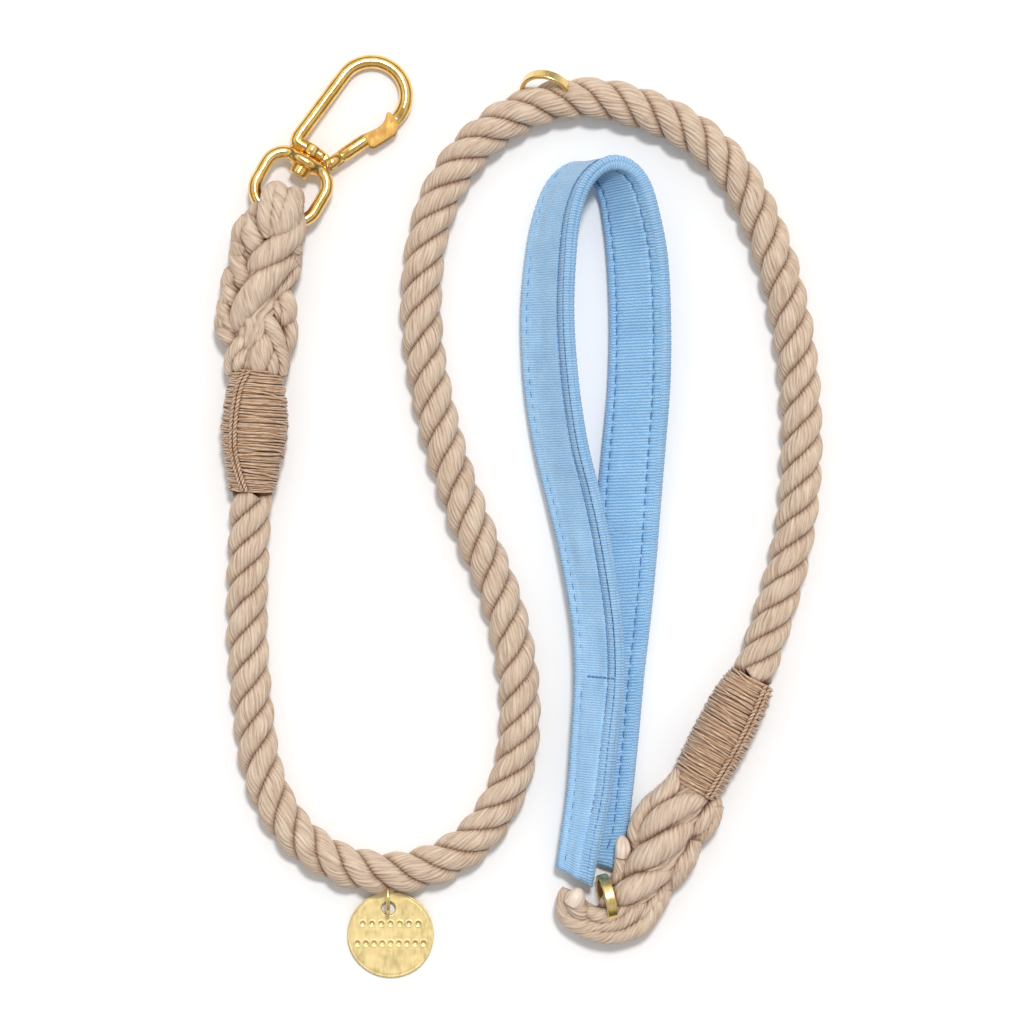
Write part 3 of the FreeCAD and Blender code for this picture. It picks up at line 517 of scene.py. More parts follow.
splice("hook_splice_strands", HOOK_STRANDS, HOOK_CORE, lambda y: 8.2, ["hook_splice"], 200)
splice("handle_splice_strands", HANDLE_STRANDS, HANDLE_CORE, lambda y: 8.0 if y > -122 else 7.0,
       ["handle_splice", "handle_tail_left", "handle_tail_right"], 300)
tips = Build()
for k, points in enumerate((LEFT_TIP, RIGHT_TIP)):
    tip, _ = smooth_line(points, 0.4)
    yarn_strand(tips, tip[:, :3], tip[:, 3], yarns=7, twist=0.1, ripple=0.12, segments=36, seed=400 + k)
hand_over(tips.make("tail_tips", tail_glue_and_highlight), "lead", "rope")

# ------------------------------------------------------------------ whippings
WHIP_Z = 8.2
LEAST_HALF_HEIGHT = 6.6
CORE_DEPTH = 0.75
STEPS_A_TURN = 64
UPWARD = np.array((0, 0, 1.0))
# layers of thread: pitch, thread radius, lift over the barrel, stray along it
WHIP_LAYERS = ((0.66, 0.40, -0.42, 0.24), (1.15, 0.36, -0.10, 0.80), (3.6, 0.36, 0.12, 1.7))
# two-ply frapping cords: gap between the two, pitch, offset and radius of a ply, height over the barrel
CORD_GAP, PLY_PITCH, PLY_OFFSET, PLY_RADIUS, CORD_RISE = 1.25, 2.6, 0.3, 0.38, 0.35


def barrel_place(ends, profile, share, height_share):
    """Centre, sideways direction, half width and half height of a whipping's barrel at shares of its length."""
    a = np.array((*ends[0], WHIP_Z), float)
    b = np.array((*ends[1], WHIP_Z), float)
    widths, _ = smooth_line([(x * 100, w, 0) for x, w in profile], 0.5)
    half_width = np.interp(share, widths[:, 0] / 100, widths[:, 1])
    half_height = np.maximum(half_width * height_share, LEAST_HALF_HEIGHT)
    centre = a + (b - a) * share[..., None]
    return centre, unit(np.cross(b - a, UPWARD)), half_width, half_height


def whipping(name, ends, profile, height_share, seed, replaced):
    """A barrel of thread, wound in layers over a body that shows only in the gaps."""
    length = math.dist(*ends)
    build = Build()
    centre, out, hw, hh = barrel_place(ends, profile, np.linspace(0, 1, 60), height_share)
    psi = np.linspace(0, TAU, 64, endpoint=False)
    body = centre[:, None] + (hw - CORE_DEPTH)[:, None, None] * np.cos(psi)[None, :, None] * out \
        + (hh - CORE_DEPTH)[:, None, None] * np.sin(psi)[None, :, None] * UPWARD
    build.grid(body[:, ::-1], mark=1)
    for layer, (pitch, radius, lift, stray) in enumerate(WHIP_LAYERS):
        turns = length / pitch
        share = np.linspace(0.004, 0.996, int(turns * STEPS_A_TURN))
        theta = TAU * turns * share
        drift = stray * (0.55 * np.sin(theta * 0.5 + seed) * np.sin(theta * 0.113)
                         + 0.6 * wobble(theta, 17.3, seed + layer) + 0.4 * wobble(theta, 4.1, seed + 5 + layer))
        share = np.clip(share + drift / length, 0.002, 0.998)
        centre, out, hw, hh = barrel_place(ends, profile, share, height_share)
        swell = lift + 0.10 * wobble(theta, 5.3, seed + 9) + 0.12 * wobble(theta, 61, seed + 10)
        path = centre + ((hw + swell) * np.cos(theta))[:, None] * out \
            + ((hh + swell) * np.sin(theta))[:, None] * UPWARD
        path[:, 2] = np.maximum(path[:, 2], radius + 0.05)
        plain_tube(build, path, radius + 0.06 * wobble(theta, 7.7, seed + 20), 6)
    hand_over(build.make(name, whip_thread, core_brown), "lead", "thread", replaced)


def frapping(name, ends, profile, height_share, offsets, replaced):
    """Two two-ply cords laid lengthwise. Offsets are (share of length, distance to the side of the axis)."""
    build = Build()
    rows, _ = smooth_line([(x * 40, y, 0) for x, y in offsets], 0.25)
    share, across = rows[:, 0] / 40, rows[:, 1]
    for gap in (0.0, CORD_GAP):
        aside = across + gap * (1 if across.mean() < 0 else -1)
        centre, out, hw, hh = barrel_place(ends, profile, share, height_share)
        rise = hh * np.sqrt(np.clip(1 - (aside / hw) ** 2, 0.02, 1))
        path = centre + aside[:, None] * out + (rise + CORD_RISE)[:, None] * UPWARD
        _, n, b = directions(path)
        for ply in (0, math.pi):
            a = TAU * arc_length(path) / PLY_PITCH + ply + gap
            plain_tube(build, path + PLY_OFFSET * (np.cos(a)[:, None] * n + np.sin(a)[:, None] * b), PLY_RADIUS, 8)
    hand_over(build.make(name, whip_thread), "lead", "thread", replaced)


HOOK_WHIP = [(-61.3, 30.4), (-62.8, -6.0)]
HANDLE_WHIP = [(88.2, -62.2), (70.4, -96.0)]
HOOK_PROFILE = [(0, 7.5), (0.14, 8.7), (0.38, 9.8), (0.6, 9.6), (0.82, 7.9), (1.0, 6.7)]
HANDLE_PROFILE = [(0, 7.0), (0.15, 8.2), (0.4, 8.7), (0.62, 8.7), (0.85, 8.2), (1.0, 7.4)]
whipping("hook_whipping_turns", HOOK_WHIP, HOOK_PROFILE, 0.81, 500, "hook_whipping")
whipping("handle_whipping_turns", HANDLE_WHIP, HANDLE_PROFILE, 0.93, 600, "handle_whipping")
frapping("hook_frapping_cords", HOOK_WHIP, HOOK_PROFILE, 0.81,
         [(0.0, 3.4), (0.18, 5.8), (0.48, 6.8), (0.7, 6.2), (0.88, 4.3), (1.0, 2.6)], "hook_frapping")
frapping("handle_frapping_cords", HANDLE_WHIP, HANDLE_PROFILE, 0.93,
         [(0.0, -5.6), (0.3, -6.2), (0.6, -6.2), (1.0, -5.4)], "handle_frapping")

# ------------------------------------------------------------------ the padded hand loop
# stations from one end round to the other: the middle of the strap's lower edge, then of its higher edge
STRAP = [
    ((28.9, -119.2, 6.2), (40.0, -125.4, 8.0)), ((30.2, -111.8, 6.4), (41.6, -114.8, 11.0)),
    ((32.5, -96.8, 6.5), (45.1, -98.0, 13.0)), ((33.9, -79.6, 6.8), (47.2, -80.6, 14.4)),
    ((34.9, -62.0, 7.0), (49.0, -63.0, 15.2)), ((34.0, -44.8, 7.0), (48.4, -45.4, 15.8)),
    ((30.3, -23.7, 6.0), (45.1, -23.1, 16.0)), ((26.6, -8.0, 4.6), (41.8, -7.4, 16.0)),
    ((22.8, 8.0, 3.5), (37.8, 8.6, 16.2)), ((20.0, 26.4, 3.0), (35.1, 26.4, 16.2)),
    ((19.1, 46.0, 2.8), (33.6, 46.0, 16.6)), ((20.3, 62.6, 2.6), (34.0, 63.6, 17.2)),
    ((22.6, 75.6, 2.6), (35.5, 77.5, 17.8)), ((26.6, 86.0, 2.5), (39.2, 87.4, 18.0)),
    ((32.6, 91.4, 2.4), (45.2, 92.6, 18.0)), ((38.6, 90.4, 2.4), (51.4, 92.2, 17.6)),
    ((42.4, 84.6, 2.4), (56.4, 87.0, 16.6)), ((44.0, 75.4, 2.4), (59.6, 77.3, 15.0)),
    ((45.0, 63.4, 2.4), (62.2, 64.6, 12.6)), ((45.6, 46.0, 2.4), (63.2, 46.6, 11.6)),
    ((45.0, 26.4, 2.4), (63.2, 27.0, 10.2)), ((43.2, 8.0, 2.4), (62.0, 8.6, 8.0)),
    ((41.6, -8.4, 2.4), (60.8, -7.8, 6.2)), ((40.4, -26.6, 2.4), (59.5, -25.4, 5.0)),
    ((38.6, -44.8, 2.4), (57.8, -43.8, 4.2)), ((37.2, -62.0, 2.4), (55.8, -61.4, 3.8)),
    ((36.0, -79.6, 2.4), (54.2, -79.0, 3.6)), ((35.4, -96.8, 2.4), (52.4, -96.2, 3.6)),
    ((35.4, -110.4, 2.4), (50.6, -109.4, 3.6)), ((38.0, -118.0, 2.6), (46.6, -120.4, 3.4)),
]
HALF_THICK, CORNER = 2.3, 1.7
OUTER_FACE, INNER_FACE, RIM_FACE = 0, 1, 2
# distances of the seams and stitches from an edge, on each face
OUTER_SEAM, OUTER_RIM, OUTER_STITCH, INNER_STITCH, INNER_LOW = 4.2, 1.75, 3.2, 4.6, 3.0
STITCH_PITCH, SEAM_PITCH = 3.9, 2.3
TUCK_AT = 61.5
TUCK_DEPTH = 0.55


def strap_stations(step):
    rows = [[(a + b) / 2 for a, b in zip(low, high)] + list(low) + list(high) for low, high in STRAP]
    line, s = smooth_line(rows, step)
    low, high = line[:, 3:6], line[:, 6:9]
    middle = (low + high) / 2
    across = unit(high - low)
    travel = unit(np.gradient(middle, axis=0))
    out = unit(np.cross(across, travel))
    return middle, across, out, np.linalg.norm(high - low, axis=1) / 2, s


def strap_section():
    """Columns round the strap: (share of half width, offset, height, normal across, normal out, face)."""
    cols = []
    flat = HALF_THICK - CORNER

    def broad(shares, up, face):
        for k in shares:
            cols.append((2 * k - 1, CORNER * (1 - 2 * k), HALF_THICK * up, 0, up, face))

    def bend(edge, height, angles):
        for a in np.radians(angles):
            c, s = math.cos(a), math.sin(a)
            cols.append((edge, CORNER * (c - edge), height + CORNER * s, c, s, RIM_FACE))

    def wall(edge, heights):
        for t in heights:
            cols.append((edge, 0, t, edge, 0, RIM_FACE))

    broad(np.linspace(0, 1, 46), 1, OUTER_FACE)
    bend(1, flat, np.linspace(90, 0, 8)[1:])
    wall(1, np.linspace(flat, -flat, 9)[1:])
    bend(1, -flat, np.linspace(0, -90, 8)[1:])
    broad(np.linspace(1, 0, 46)[1:], -1, INNER_FACE)
    bend(-1, -flat, np.linspace(-90, -180, 8)[1:])
    wall(-1, np.linspace(-flat, flat, 9)[1:])
    bend(-1, flat, np.linspace(180, 90, 8)[1:-1])
    return np.array(cols, float)


def dent(distance, depth, width):
    return -depth * np.exp(-(distance / width) ** 2)


def band(distance, width):
    return np.exp(-(distance / width) ** 2)


def strap_surface(middle, across, out, hw, s, cols):
    """Points of the strap's surface, with its seams, sewn dents, folds and soft thickness."""
    share, offset, height, ncol, nout, face = cols.T
    c = hw[:, None] * share + offset
    t = np.tile(height, (len(s), 1))
    to_high, to_low = hw[:, None] - c, hw[:, None] + c
    S = s[:, None]
    outer, inner, rim = (face == OUTER_FACE), (face == INNER_FACE), (face == RIM_FACE)
    body = np.clip(to_high / 6, 0, 1) * np.clip(to_low / 5, 0, 1)
    pucker = 0.16 * np.sin(TAU * S / STITCH_PITCH)
    lift = outer * (dent(to_high - OUTER_SEAM, 0.5, 0.45) + dent(to_high - OUTER_RIM, 0.5, 0.45)
                    + dent(to_low - OUTER_STITCH, 0.28, 0.8) + 0.5 * pucker * band(to_low - OUTER_STITCH, 1.3)
                    + 0.55 * wobble(S, 95, 801) * body * band(to_low - 8.5, 2.4)
                    + 0.28 * wobble(S, 31, 802) * body
                    + 0.10 * np.sin(TAU * S / 1.7 + 3 * wobble(c, 7, 803)) * band(to_high - 2.4, 1.4))
    lift = lift + inner * (dent(to_high - INNER_STITCH, 0.45, 0.6) + dent(to_low - INNER_LOW, 0.4, 0.6)
                           + pucker * band(to_high - INNER_STITCH, 1.4) + pucker * band(to_low - INNER_LOW, 1.4)
                           + 0.18 * wobble(S, 23, 804) * body)
    lift = lift + rim * (dent(t - 0.1, 0.5, 0.38) + 0.07 * np.sin(TAU * S / 1.9) * (np.abs(t) > 0.4))
    end = np.clip(np.minimum(S, s[-1] - S) / 2.6, 0, 1)
    close = np.sqrt(end * (2 - end))
    ruffle = 0.5 * wobble(c, 9, 805) * np.exp(-S / 14) * outer
    # the tuck on the outer face, where the left leg's cloth is folded under itself
    fold = TUCK_DEPTH * outer * np.clip((to_low - 3) / 2, 0, 1) * (
        1 / (1 + np.exp((S - TUCK_AT - 0.12 * c) / 0.25)) - 1)
    lift = lift + ruffle + fold * np.exp(-np.maximum(TUCK_AT - S, 0) / 30)
    c = c + ncol * lift
    t = t * (0.25 + 0.75 * close) + nout * lift
    return middle[:, None] + across[:, None] * c[..., None] + out[:, None] * t[..., None]


GROUND_GAP = 0.06
SEAM_SHARE = 0.64
middle, across, out, hw, s = strap_stations(0.42)
cols = strap_section()
surface = strap_surface(middle, across, out, hw, s, cols)
surface[..., 2] = np.maximum(surface[..., 2], GROUND_GAP)
girth = np.linalg.norm(np.diff(np.concatenate([surface, surface[:, :1]], 1), axis=1), axis=2)
u = np.concatenate([np.zeros((len(s), 1)), np.cumsum(girth, 1)], 1)
v = np.repeat(s[:, None], surface.shape[1] + 1, 1)
face = cols[:, 5].astype(int)
mark = np.where((face == OUTER_FACE) & (cols[:, 0] > SEAM_SHARE), RIM_FACE, face)
strap = Build()
strap.grid(surface[:, ::-1], u[:, ::-1], v, mark=mark[::-1])
hand_loop = strap.make("hand_loop_cover", cover_blue, lining_blue, binding_blue)
hand_over(hand_loop, "lead", "outer", "handle_cover", "handle_lining", "handle_core", "handle_piping")


def stitch_row(build, share, offset, side, pitch, length, radius, proud):
    """Straight stitches along the strap at a distance from one of its edges; side 1 is the outer face."""
    def blend(a):
        return a[i] * (1 - f) + a[i + 1] * f

    step = s[1] - s[0]
    bow = np.sin(np.linspace(0, math.pi, 5))[:, None]
    at = 4.0
    while at < s[-1] - 5:
        k = np.linspace(at, at + length, 5) / step
        i = np.clip(k.astype(int), 0, len(s) - 2)
        f = (k - i)[:, None]
        c = blend(hw[:, None]) * share + offset
        t = side * (HALF_THICK + proud - 0.22 + 0.2 * bow)
        path = blend(middle) + blend(across) * c + blend(out) * t
        plain_tube(build, path, radius * (0.55 + 0.45 * bow[:, 0]), 6)
        at += pitch * (1 + 0.05 * math.sin(at * 1.7))


# edge, distance from it, face, pitch, stitch length, thread radius, height over the cloth
# the rows at OUTER_SEAM and OUTER_RIM lie almost end to end in the seams' dents: stitching, and also a dark line of
# painted seam shade
STITCH_ROWS = (
    (1, -INNER_STITCH, -1, STITCH_PITCH, 2.7, 0.26, -0.30), (-1, INNER_LOW, -1, STITCH_PITCH, 2.7, 0.24, -0.26),
    (-1, OUTER_STITCH, 1, STITCH_PITCH, 2.6, 0.13, -0.30), (1, -OUTER_SEAM, 1, SEAM_PITCH, 2.25, 0.15, -0.47),
    (1, -OUTER_RIM, 1, SEAM_PITCH, 2.25, 0.17, -0.47),
)
stitches = Build()
for row in STITCH_ROWS:
    stitch_row(stitches, *row)
hand_over(stitches.make("hand_loop_stitches", stitch_blue_and_shade), "lead", "stitch", "handle_stitching")

TACK_COUNT, TACK_START, TACK_PITCH, TACK_LENGTH, TACK_BOW, TACK_RADIUS = 7, -2.6, 1.35, 0.95, 0.18, 0.24
tack = Build()
station = int(TUCK_AT / (s[1] - s[0]))
for k in range(TACK_COUNT):
    start = middle[station] + across[station] * (TACK_START + TACK_PITCH * k) + out[station] * (HALF_THICK - 0.1)
    plain_tube(tack, np.array([start + across[station] * (TACK_LENGTH * f)
                               + out[station] * (TACK_BOW * math.sin(f * math.pi)) for f in np.linspace(0, 1, 5)]),
               TACK_RADIUS, 6)
hand_over(tack.make("hand_loop_tack", stitch_blue_and_shade), "lead", "stitch", "handle_tack")

# ------------------------------------------------------------------ the snap hook
# the hook's own frame: its long axis is y, from the eye's bar at 0 to the bow, and z is across its plane
HOOK = Matrix.Translation((-55.7, 78.2, 8.2)) @ Matrix.Rotation(math.radians(-29.6), 4, "Z") \
    @ Matrix.Rotation(math.radians(-6.4), 4, "X")
EYE_HALF, EYE_ROD, LOW_CORNER, TOP_CORNER, TOP_CORNER_Y = 10.0, 1.95, 6.5, 6.0, 12.3
EYE_TOP = TOP_CORNER_Y + TOP_CORNER
FOOT_Y, FOOT_START = 22.0, 4.4
HEEL = np.array((-5.8, FOOT_Y, 0.0))
HEEL_CORNER = 1.5
BOW = np.array((7.45, 45.7, 0.0))
BOW_RADIUS = 10.4
BOW_END, NOSE_ANGLE = -26, -13.4
PIVOT = (7.2, 21.8, 0)


def arc(centre, radius, start, stop):
    a = np.arange(0, 1.0001, 1 / max(int(abs(stop - start) / 2.0), 2)) * (stop - start) + start
    return np.stack([centre[0] + radius * np.cos(np.radians(a)), centre[1] + radius * np.sin(np.radians(a)),
                     np.zeros_like(a)], 1)


def level(x_from, x_to, y, count):
    return np.array([[x, y, 0] for x in np.linspace(x_from, x_to, count)])


def rounded(distance, least):
    """The half size of a rod's end at shares of its rounding's length."""
    return np.sqrt(np.clip(1 - (1 - np.clip(distance, 0, 1)) ** 2, least, 1))


def flat_sweep(build, line, in_plane, out_plane, closed=False):
    """A rod along a line in the hook's plane, with its half sizes in that plane and across it."""
    if closed:
        tangent = unit(np.roll(line, -1, 0) - np.roll(line, 1, 0))
    else:
        tangent = unit(np.gradient(line, axis=0))
    z = np.array((0, 0, 1.0))
    normal = np.cross(tangent, z)
    psi = np.linspace(0, TAU, 40, endpoint=False)
    p = line[:, None] + (in_plane[:, None] * np.cos(psi))[..., None] * normal[:, None] \
        - (out_plane[:, None] * np.sin(psi))[..., None] * z
    build.grid(p, closed=closed)


eye = Build()
ring = np.vstack([
    arc((EYE_HALF - LOW_CORNER, LOW_CORNER), LOW_CORNER, 270, 360),
    arc((EYE_HALF - TOP_CORNER, TOP_CORNER_Y), TOP_CORNER, 0, 90), level(3.8, -3.8, EYE_TOP, 30),
    arc((TOP_CORNER - EYE_HALF, TOP_CORNER_Y), TOP_CORNER, 90, 180),
    arc((LOW_CORNER - EYE_HALF, LOW_CORNER), LOW_CORNER, 180, 270), level(-3.2, 3.2, 0, 12),
])
keep = np.r_[True, np.linalg.norm(np.diff(ring, axis=0), axis=1) > 0.05]
ring, _ = resample(np.vstack([ring[keep], ring[:1]]), 0.3)
ring = ring[:-1]
boss = np.where(ring[:, 1] > 15.5, np.exp(-(np.abs(ring[:, 0]) / 4.4) ** 4), 0)
ring[:, 1] -= 0.45 * boss
flat_sweep(eye, ring, EYE_ROD + 0.6 * boss, EYE_ROD + 2.3 * boss, closed=True)
hand_over(eye.make("swivel_eye_ring", brass, world=HOOK), "eye", "brass", "swivel_eye")

reach = BOW - HEEL
lean = math.degrees(math.atan2(reach[1], reach[0])) + math.degrees(math.asin(BOW_RADIUS / np.linalg.norm(reach)))
spine_length = math.sqrt(reach @ reach - BOW_RADIUS ** 2)
spine = np.array((math.cos(math.radians(lean)), math.sin(math.radians(lean)), 0))
body_line, bs = resample(np.vstack([
    level(FOOT_START, HEEL[0] + HEEL_CORNER, FOOT_Y, 30),
    smooth_line([(HEEL[0] + HEEL_CORNER, FOOT_Y, 0), (HEEL[0] + 0.55, FOOT_Y + 0.3, 0),
                 tuple(HEEL + spine * 1.0 + np.array((0.25, 0.1, 0))), tuple(HEEL + spine * 2.2)], 0.3)[0][1:-1],
    np.array([HEEL + spine * d for d in np.linspace(2.2, spine_length, 60)]),
    arc(BOW, BOW_RADIUS, lean + 90, BOW_END)[1:],
]), 0.3)
left = bs[-1] - bs
nose = np.clip((left - 2.0) / 4.0, 0, 1)
nose = nose * nose * (3 - 2 * nose)
foot = np.clip(1 - bs / 7, 0, 1)
ends = rounded(left / 1.2, 0.02) * rounded(bs / 0.8, 0.3)
hook = Build()
flat_sweep(hook, body_line, (2.1 - 0.4 * foot) * (0.9 + 0.1 * nose) * ends,
           (1.15 + 0.85 * nose) * (1 - 0.05 * foot) * ends)


def button(build, centre, radius, half, axis=(0, 0, 1.0), edge=0.3, segments=40):
    """A round plate with softened edges."""
    axis = unit(np.array(axis, float))
    a = unit(np.cross(axis, (0.3, 0.9, 0.1)))
    b = np.cross(axis, a)
    rows = [(0.02, -half), (radius - edge, -half), (radius - edge * 0.3, -half + edge * 0.3), (radius, -half + edge)]
    rows += [(r, -h) for r, h in reversed(rows)]
    psi = np.linspace(0, TAU, segments, endpoint=False)
    p = np.array([[np.array(centre) + r * (math.cos(t) * a + math.sin(t) * b) + axis * h for t in psi]
                  for r, h in rows])
    build.grid(p)


button(hook, PIVOT, 1.9, 0.9)
button(hook, (4.6, 21.8, 0), 1.5, 0.9)
button(hook, (0.0, FOOT_Y, 0), 2.7, 1.7, (0, 1, 0), 0.5)
hand_over(hook.make("hook_body_rod", brass, world=HOOK), "snap", "brass", "hook_body")

for name, material in (("swivel_rivet", brass), ("gate_spring", steel), ("shoulder_ring", brass_band),
                       ("handle_ring", brass_band), ("tag_ring", brass_band)):
    mesh = nodes[name].data
    mesh.materials.clear()
    mesh.materials.append(material)

# ------------------------------------------------------------------ the gate
# the gate's own frame: x runs from its pivot to the nose; outlines are seen across its plane
nose_at = BOW + BOW_RADIUS * np.array((math.cos(math.radians(NOSE_ANGLE)), math.sin(math.radians(NOSE_ANGLE)), 0))
GATE = HOOK @ Matrix.Translation(PIVOT) \
    @ Matrix.Rotation(math.atan2(nose_at[1] - PIVOT[1], nose_at[0] - PIVOT[0]), 4, "Z")
PLATE = [(12.2, 1.7), (13.4, 1.45), (15.4, 1.05), (17.6, 0.8), (19.4, 1.0), (20.8, 1.75), (21.9, 2.85), (22.8, 2.95),
         (23.4, 1.2), (23.5, -0.6), (23.2, -1.9), (22.0, -3.1), (20.6, -3.7), (17.0, -3.65), (13.2, -3.45),
         (12.2, -2.6)]
WEB = [(15.0, 0.0), (15.4, 0.95), (17.6, 0.72), (19.4, 0.92), (20.8, 1.67), (21.9, 2.75), (22.7, 2.8), (22.6, 2.1),
       (20.9, 1.2), (19.2, 0.2), (17.4, 0.0)]
BRIDGE = [(11.9, 1.6), (13.4, 1.35), (15.4, 0.95), (16.6, 0.8), (16.6, -3.0), (14.0, -3.2), (12.2, -2.5)]
BARREL = [(3.3, 1.2), (3.3, 1.85), (3.42, 2.05), (3.6, 2.12), (3.95, 2.12), (4.02, 2.0), (4.1, 1.88), (4.25, 1.88),
          (4.32, 2.0), (4.4, 2.1), (4.6, 2.15), (8.0, 2.15), (12.2, 2.15), (12.5, 2.1), (12.6, 1.9), (12.6, 1.2)]
LOBE_RADIUS, LOBE_INSIDE = 2.08, 1.12
LOBE = [(x, LOBE_RADIUS * share) for x, share in (
    (-1.75, 0.72), (-1.7, 0.86), (-1.5, 0.94), (-1.1, 0.99), (0.0, 1.0), (3.5, 1.0))]
PLATE_INSIDE, PLATE_OUTSIDE, PLATE_EDGE, WEB_HALF, WEB_EDGE = 1.4, 1.95, 0.14, 1.5, 0.05


def prism(build, outline, low, high, edge):
    """A flat plate with that outline and softened edges."""
    p = np.array(outline, float)
    if np.sum(p[:, 0] * np.roll(p[:, 1], -1) - np.roll(p[:, 0], -1) * p[:, 1]) < 0:
        p = p[::-1]
    p = resample(np.vstack([p, p[:1]]), 0.25)[0][:-1]
    t = unit(np.roll(p, -1, 0) - np.roll(p, 1, 0))
    inward = np.stack([-t[:, 1], t[:, 0]], 1)
    rows = [np.column_stack([p + inward * inset, np.full(len(p), z)]) for inset, z in (
        (edge, low), (edge * 0.3, low + edge * 0.3), (0, low + edge), (0, high - edge),
        (edge * 0.3, high - edge * 0.3), (edge, high))]
    build.grid(np.array(rows)[:, ::-1])


gate = Build()
psi = np.linspace(0, TAU, 48, endpoint=False)
barrel = np.array([[(x, r * math.cos(a), r * math.sin(a)) for a in psi] for x, r in BARREL])
gate.grid(barrel[:, ::-1], mark=1)
lobe_angles = np.radians(np.linspace(32, 148, 20))
for side in (1, -1):
    lobe = np.array([[(x, r * math.cos(a), side * max(r * math.sin(a), LOBE_INSIDE)) for a in lobe_angles]
                     for x, r in LOBE])
    gate.grid(lobe[:, ::-1] if side > 0 else lobe, mark=1)
prism(gate, PLATE, PLATE_INSIDE, PLATE_OUTSIDE, PLATE_EDGE)
prism(gate, PLATE, -PLATE_OUTSIDE, -PLATE_INSIDE, PLATE_EDGE)
prism(gate, WEB, -WEB_HALF, WEB_HALF, WEB_EDGE)
prism(gate, BRIDGE, -WEB_HALF, WEB_HALF, WEB_EDGE)
hand_over(gate.make("gate_barrel_and_plate", brass_gate, brass, world=GATE), "gate_arm", "brass", "gate")
pin = Build()
button(pin, (0, 0, 0), 0.95, 2.14, edge=0.15, segments=32)
hand_over(pin.make("gate_hinge_pin", brass, world=GATE), "gate_arm", "brass", "gate_pin")

# ------------------------------------------------------------------ the tag
TAG_RADIUS, TAG_HALF, TAG_HOLE, TAG_SOFT = 13.1, 0.6, 2.1, 0.22
HOLE_AT = np.array((-0.6, 8.1))
TAG = Matrix.Translation((-21.1, -140.1, 0.914)) @ Matrix.Rotation(math.radians(4.0), 4, "X") \
    @ Matrix.Translation((0, 0, TAG_HALF))
DOTS = [(-8.4 + 2.8 * k, 3.4) for k in range(7)] + [(-10.0 + 2.5 * k, -2.6) for k in range(9)]
DOT_DEPTH, DOT_RADIUS, DOT_LIP, DOT_LIP_AT = 0.32, 0.62, 0.05, 0.95
GROOVE_DEPTH, GROOVE_AT, GROOVE_WIDTH = 0.03, 12.4, 0.30


def tag_mesh():
    """A disc of rings about its hole: over the face, round the rim, back under it and up through the hole."""
    psi = np.linspace(0, TAU, 420, endpoint=False)
    d = np.stack([np.cos(psi), np.sin(psi)], 1)
    along_ray = -(d @ HOLE_AT)
    rim = along_ray + np.sqrt(along_ray ** 2 - (HOLE_AT @ HOLE_AT) + TAG_RADIUS ** 2)
    rim = rim + 0.10 * wobble(psi, 2.3, 900) * (d[:, 1] < 0.2)

    def rounding(reach, angles):
        for a in np.radians(angles):
            rows.append(np.column_stack([HOLE_AT + d * reach(math.cos(a)), np.full(
                len(psi), (TAG_HALF - TAG_SOFT) * np.sign(math.sin(a)) + TAG_SOFT * math.sin(a))]))

    rows = []
    for side, shares in ((1, np.linspace(0, 1, 110)), (-1, np.linspace(1, 0, 30))):
        for f in shares:
            r = TAG_HOLE + TAG_SOFT + (rim - TAG_HOLE - 2 * TAG_SOFT) * f
            xy = HOLE_AT + d * r[:, None]
            z = np.full(len(psi), TAG_HALF)
            if side == 1:
                z = z + 0.05 * wobble(xy[:, 0], 13, 901) * wobble(xy[:, 1], 11, 902)
                z = z + dent(np.linalg.norm(xy, axis=1) - GROOVE_AT, GROOVE_DEPTH, GROOVE_WIDTH)
                for x, y in DOTS:
                    q = np.hypot(xy[:, 0] - x, xy[:, 1] - y)
                    z = z - DOT_DEPTH * np.exp(-(q / DOT_RADIUS) ** 4) + DOT_LIP * band(q - DOT_LIP_AT, 0.2)
            rows.append(np.column_stack([xy, z * side]))
        if side == 1:
            rounding(lambda c: (rim - TAG_SOFT + TAG_SOFT * c)[:, None], (60, 30, 0, -30, -60))
        else:
            rounding(lambda c: TAG_HOLE + TAG_SOFT - TAG_SOFT * c, (-60, -30, 0, 30, 60))
    build = Build()
    build.grid(np.array(rows), closed=True)
    return build.make("tag_disc", brass_tag, world=TAG)


hand_over(tag_mesh(), "tag_disc", "tag_brass", "tag")

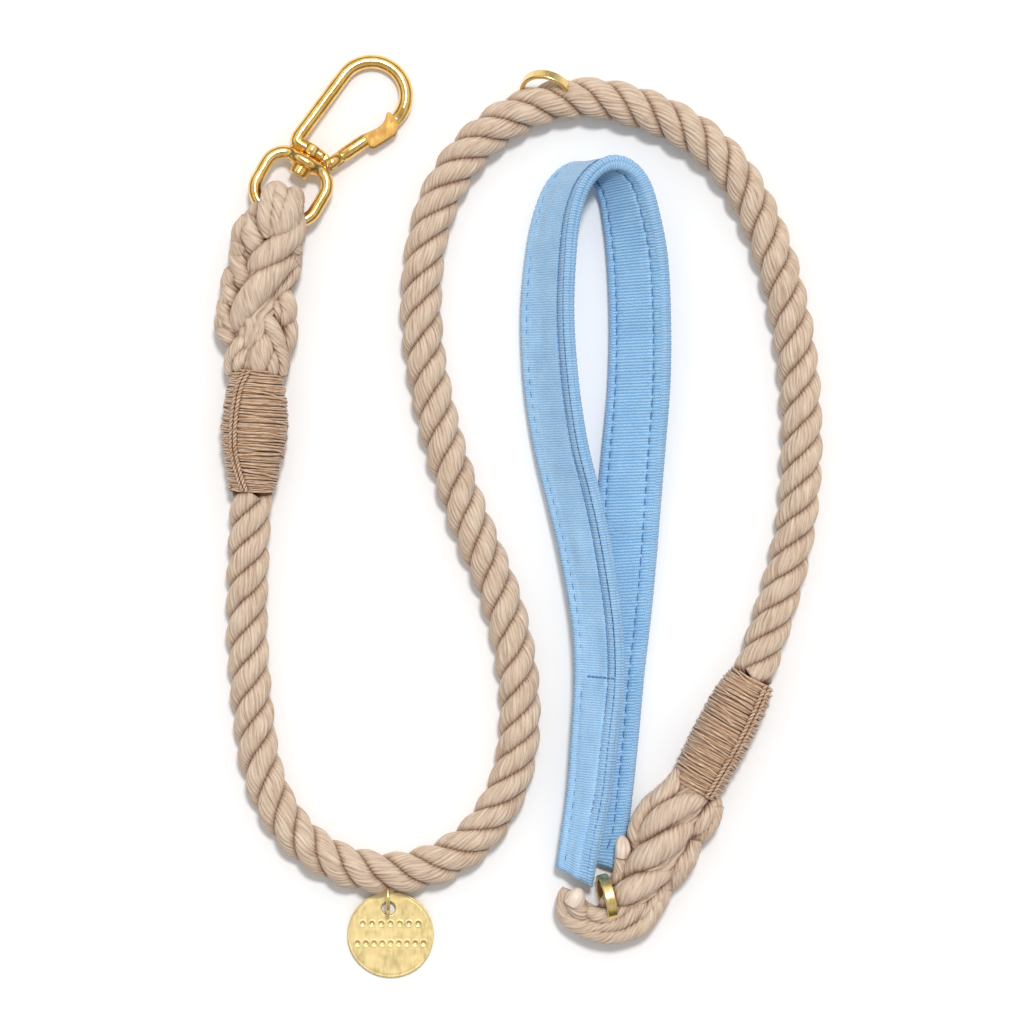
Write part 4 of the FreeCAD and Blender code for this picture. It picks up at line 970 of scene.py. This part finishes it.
# ------------------------------------------------------------------ floor, light and background
SUN_STRENGTH, SUN_SPREAD, SUN_TILT = 1.75, 9, (-20, 5)
SKY_BANDS = ((0.0, 0.30), (0.20, 0.22), (0.42, 0.48), (0.56, 1.12), (0.78, 1.12), (0.90, 0.72), (1.0, 0.66))
SKY_SLOPE, SKY_LEVEL = 0.30, 0.72
FLOOR_HALF = 3
floor_mesh = bpy.data.meshes.new("floor")
floor_mesh.from_pydata([(x * FLOOR_HALF, y * FLOOR_HALF, 0) for x, y in ((-1, -1), (1, -1), (1, 1), (-1, 1))],
                       [], [(0, 1, 2, 3)])
floor = bpy.data.objects.new("floor", floor_mesh)
bpy.context.scene.collection.objects.link(floor)
paper = Nodes("paper")
paper.colour(paper.ramp(paper.noise(paper.stretched(40, 40, 40, "Object"), 1.0), (0.3, "#FAFAFA"), (0.7, "#FCFCFC")))
paper.set(Roughness=0.9, Specular_IOR_Level=0.1)
floor_mesh.materials.append(paper.material)

key_data = bpy.data.lights.new("key", "SUN")
key_data.energy = SUN_STRENGTH
key_data.angle = math.radians(SUN_SPREAD)
key = bpy.data.objects.new("key", key_data)
bpy.context.scene.collection.objects.link(key)
key.rotation_euler = (math.radians(SUN_TILT[0]), math.radians(SUN_TILT[1]), 0)

world = bpy.data.worlds.new("studio")
bpy.context.scene.world = world
world.use_nodes = True
tree = world.node_tree
coords = tree.nodes.new("ShaderNodeTexCoord")
split = tree.nodes.new("ShaderNodeSeparateXYZ")
ramp = tree.nodes.new("ShaderNodeValToRGB")
tree.links.new(coords.outputs["Generated"], split.inputs[0])
tree.links.new(split.outputs["Z"], ramp.inputs["Fac"])
while len(ramp.color_ramp.elements) < len(SKY_BANDS):
    ramp.color_ramp.elements.new(0.5)
for element, (at, value) in zip(ramp.color_ramp.elements, SKY_BANDS):
    element.position = at
    element.color = (value, value, value, 1)
side_light = tree.nodes.new("ShaderNodeMath")
side_light.operation = "MULTIPLY_ADD"
side_light.inputs[1].default_value = SKY_SLOPE
side_light.inputs[2].default_value = SKY_LEVEL
tree.links.new(split.outputs["Y"], side_light.inputs[0])
tree.links.new(ramp.outputs["Color"], tree.nodes["Background"].inputs["Color"])
tree.links.new(side_light.outputs[0], tree.nodes["Background"].inputs["Strength"])

bpy.context.scene.view_settings.view_transform = "Standard"
bpy.context.scene.view_settings.look = "None"
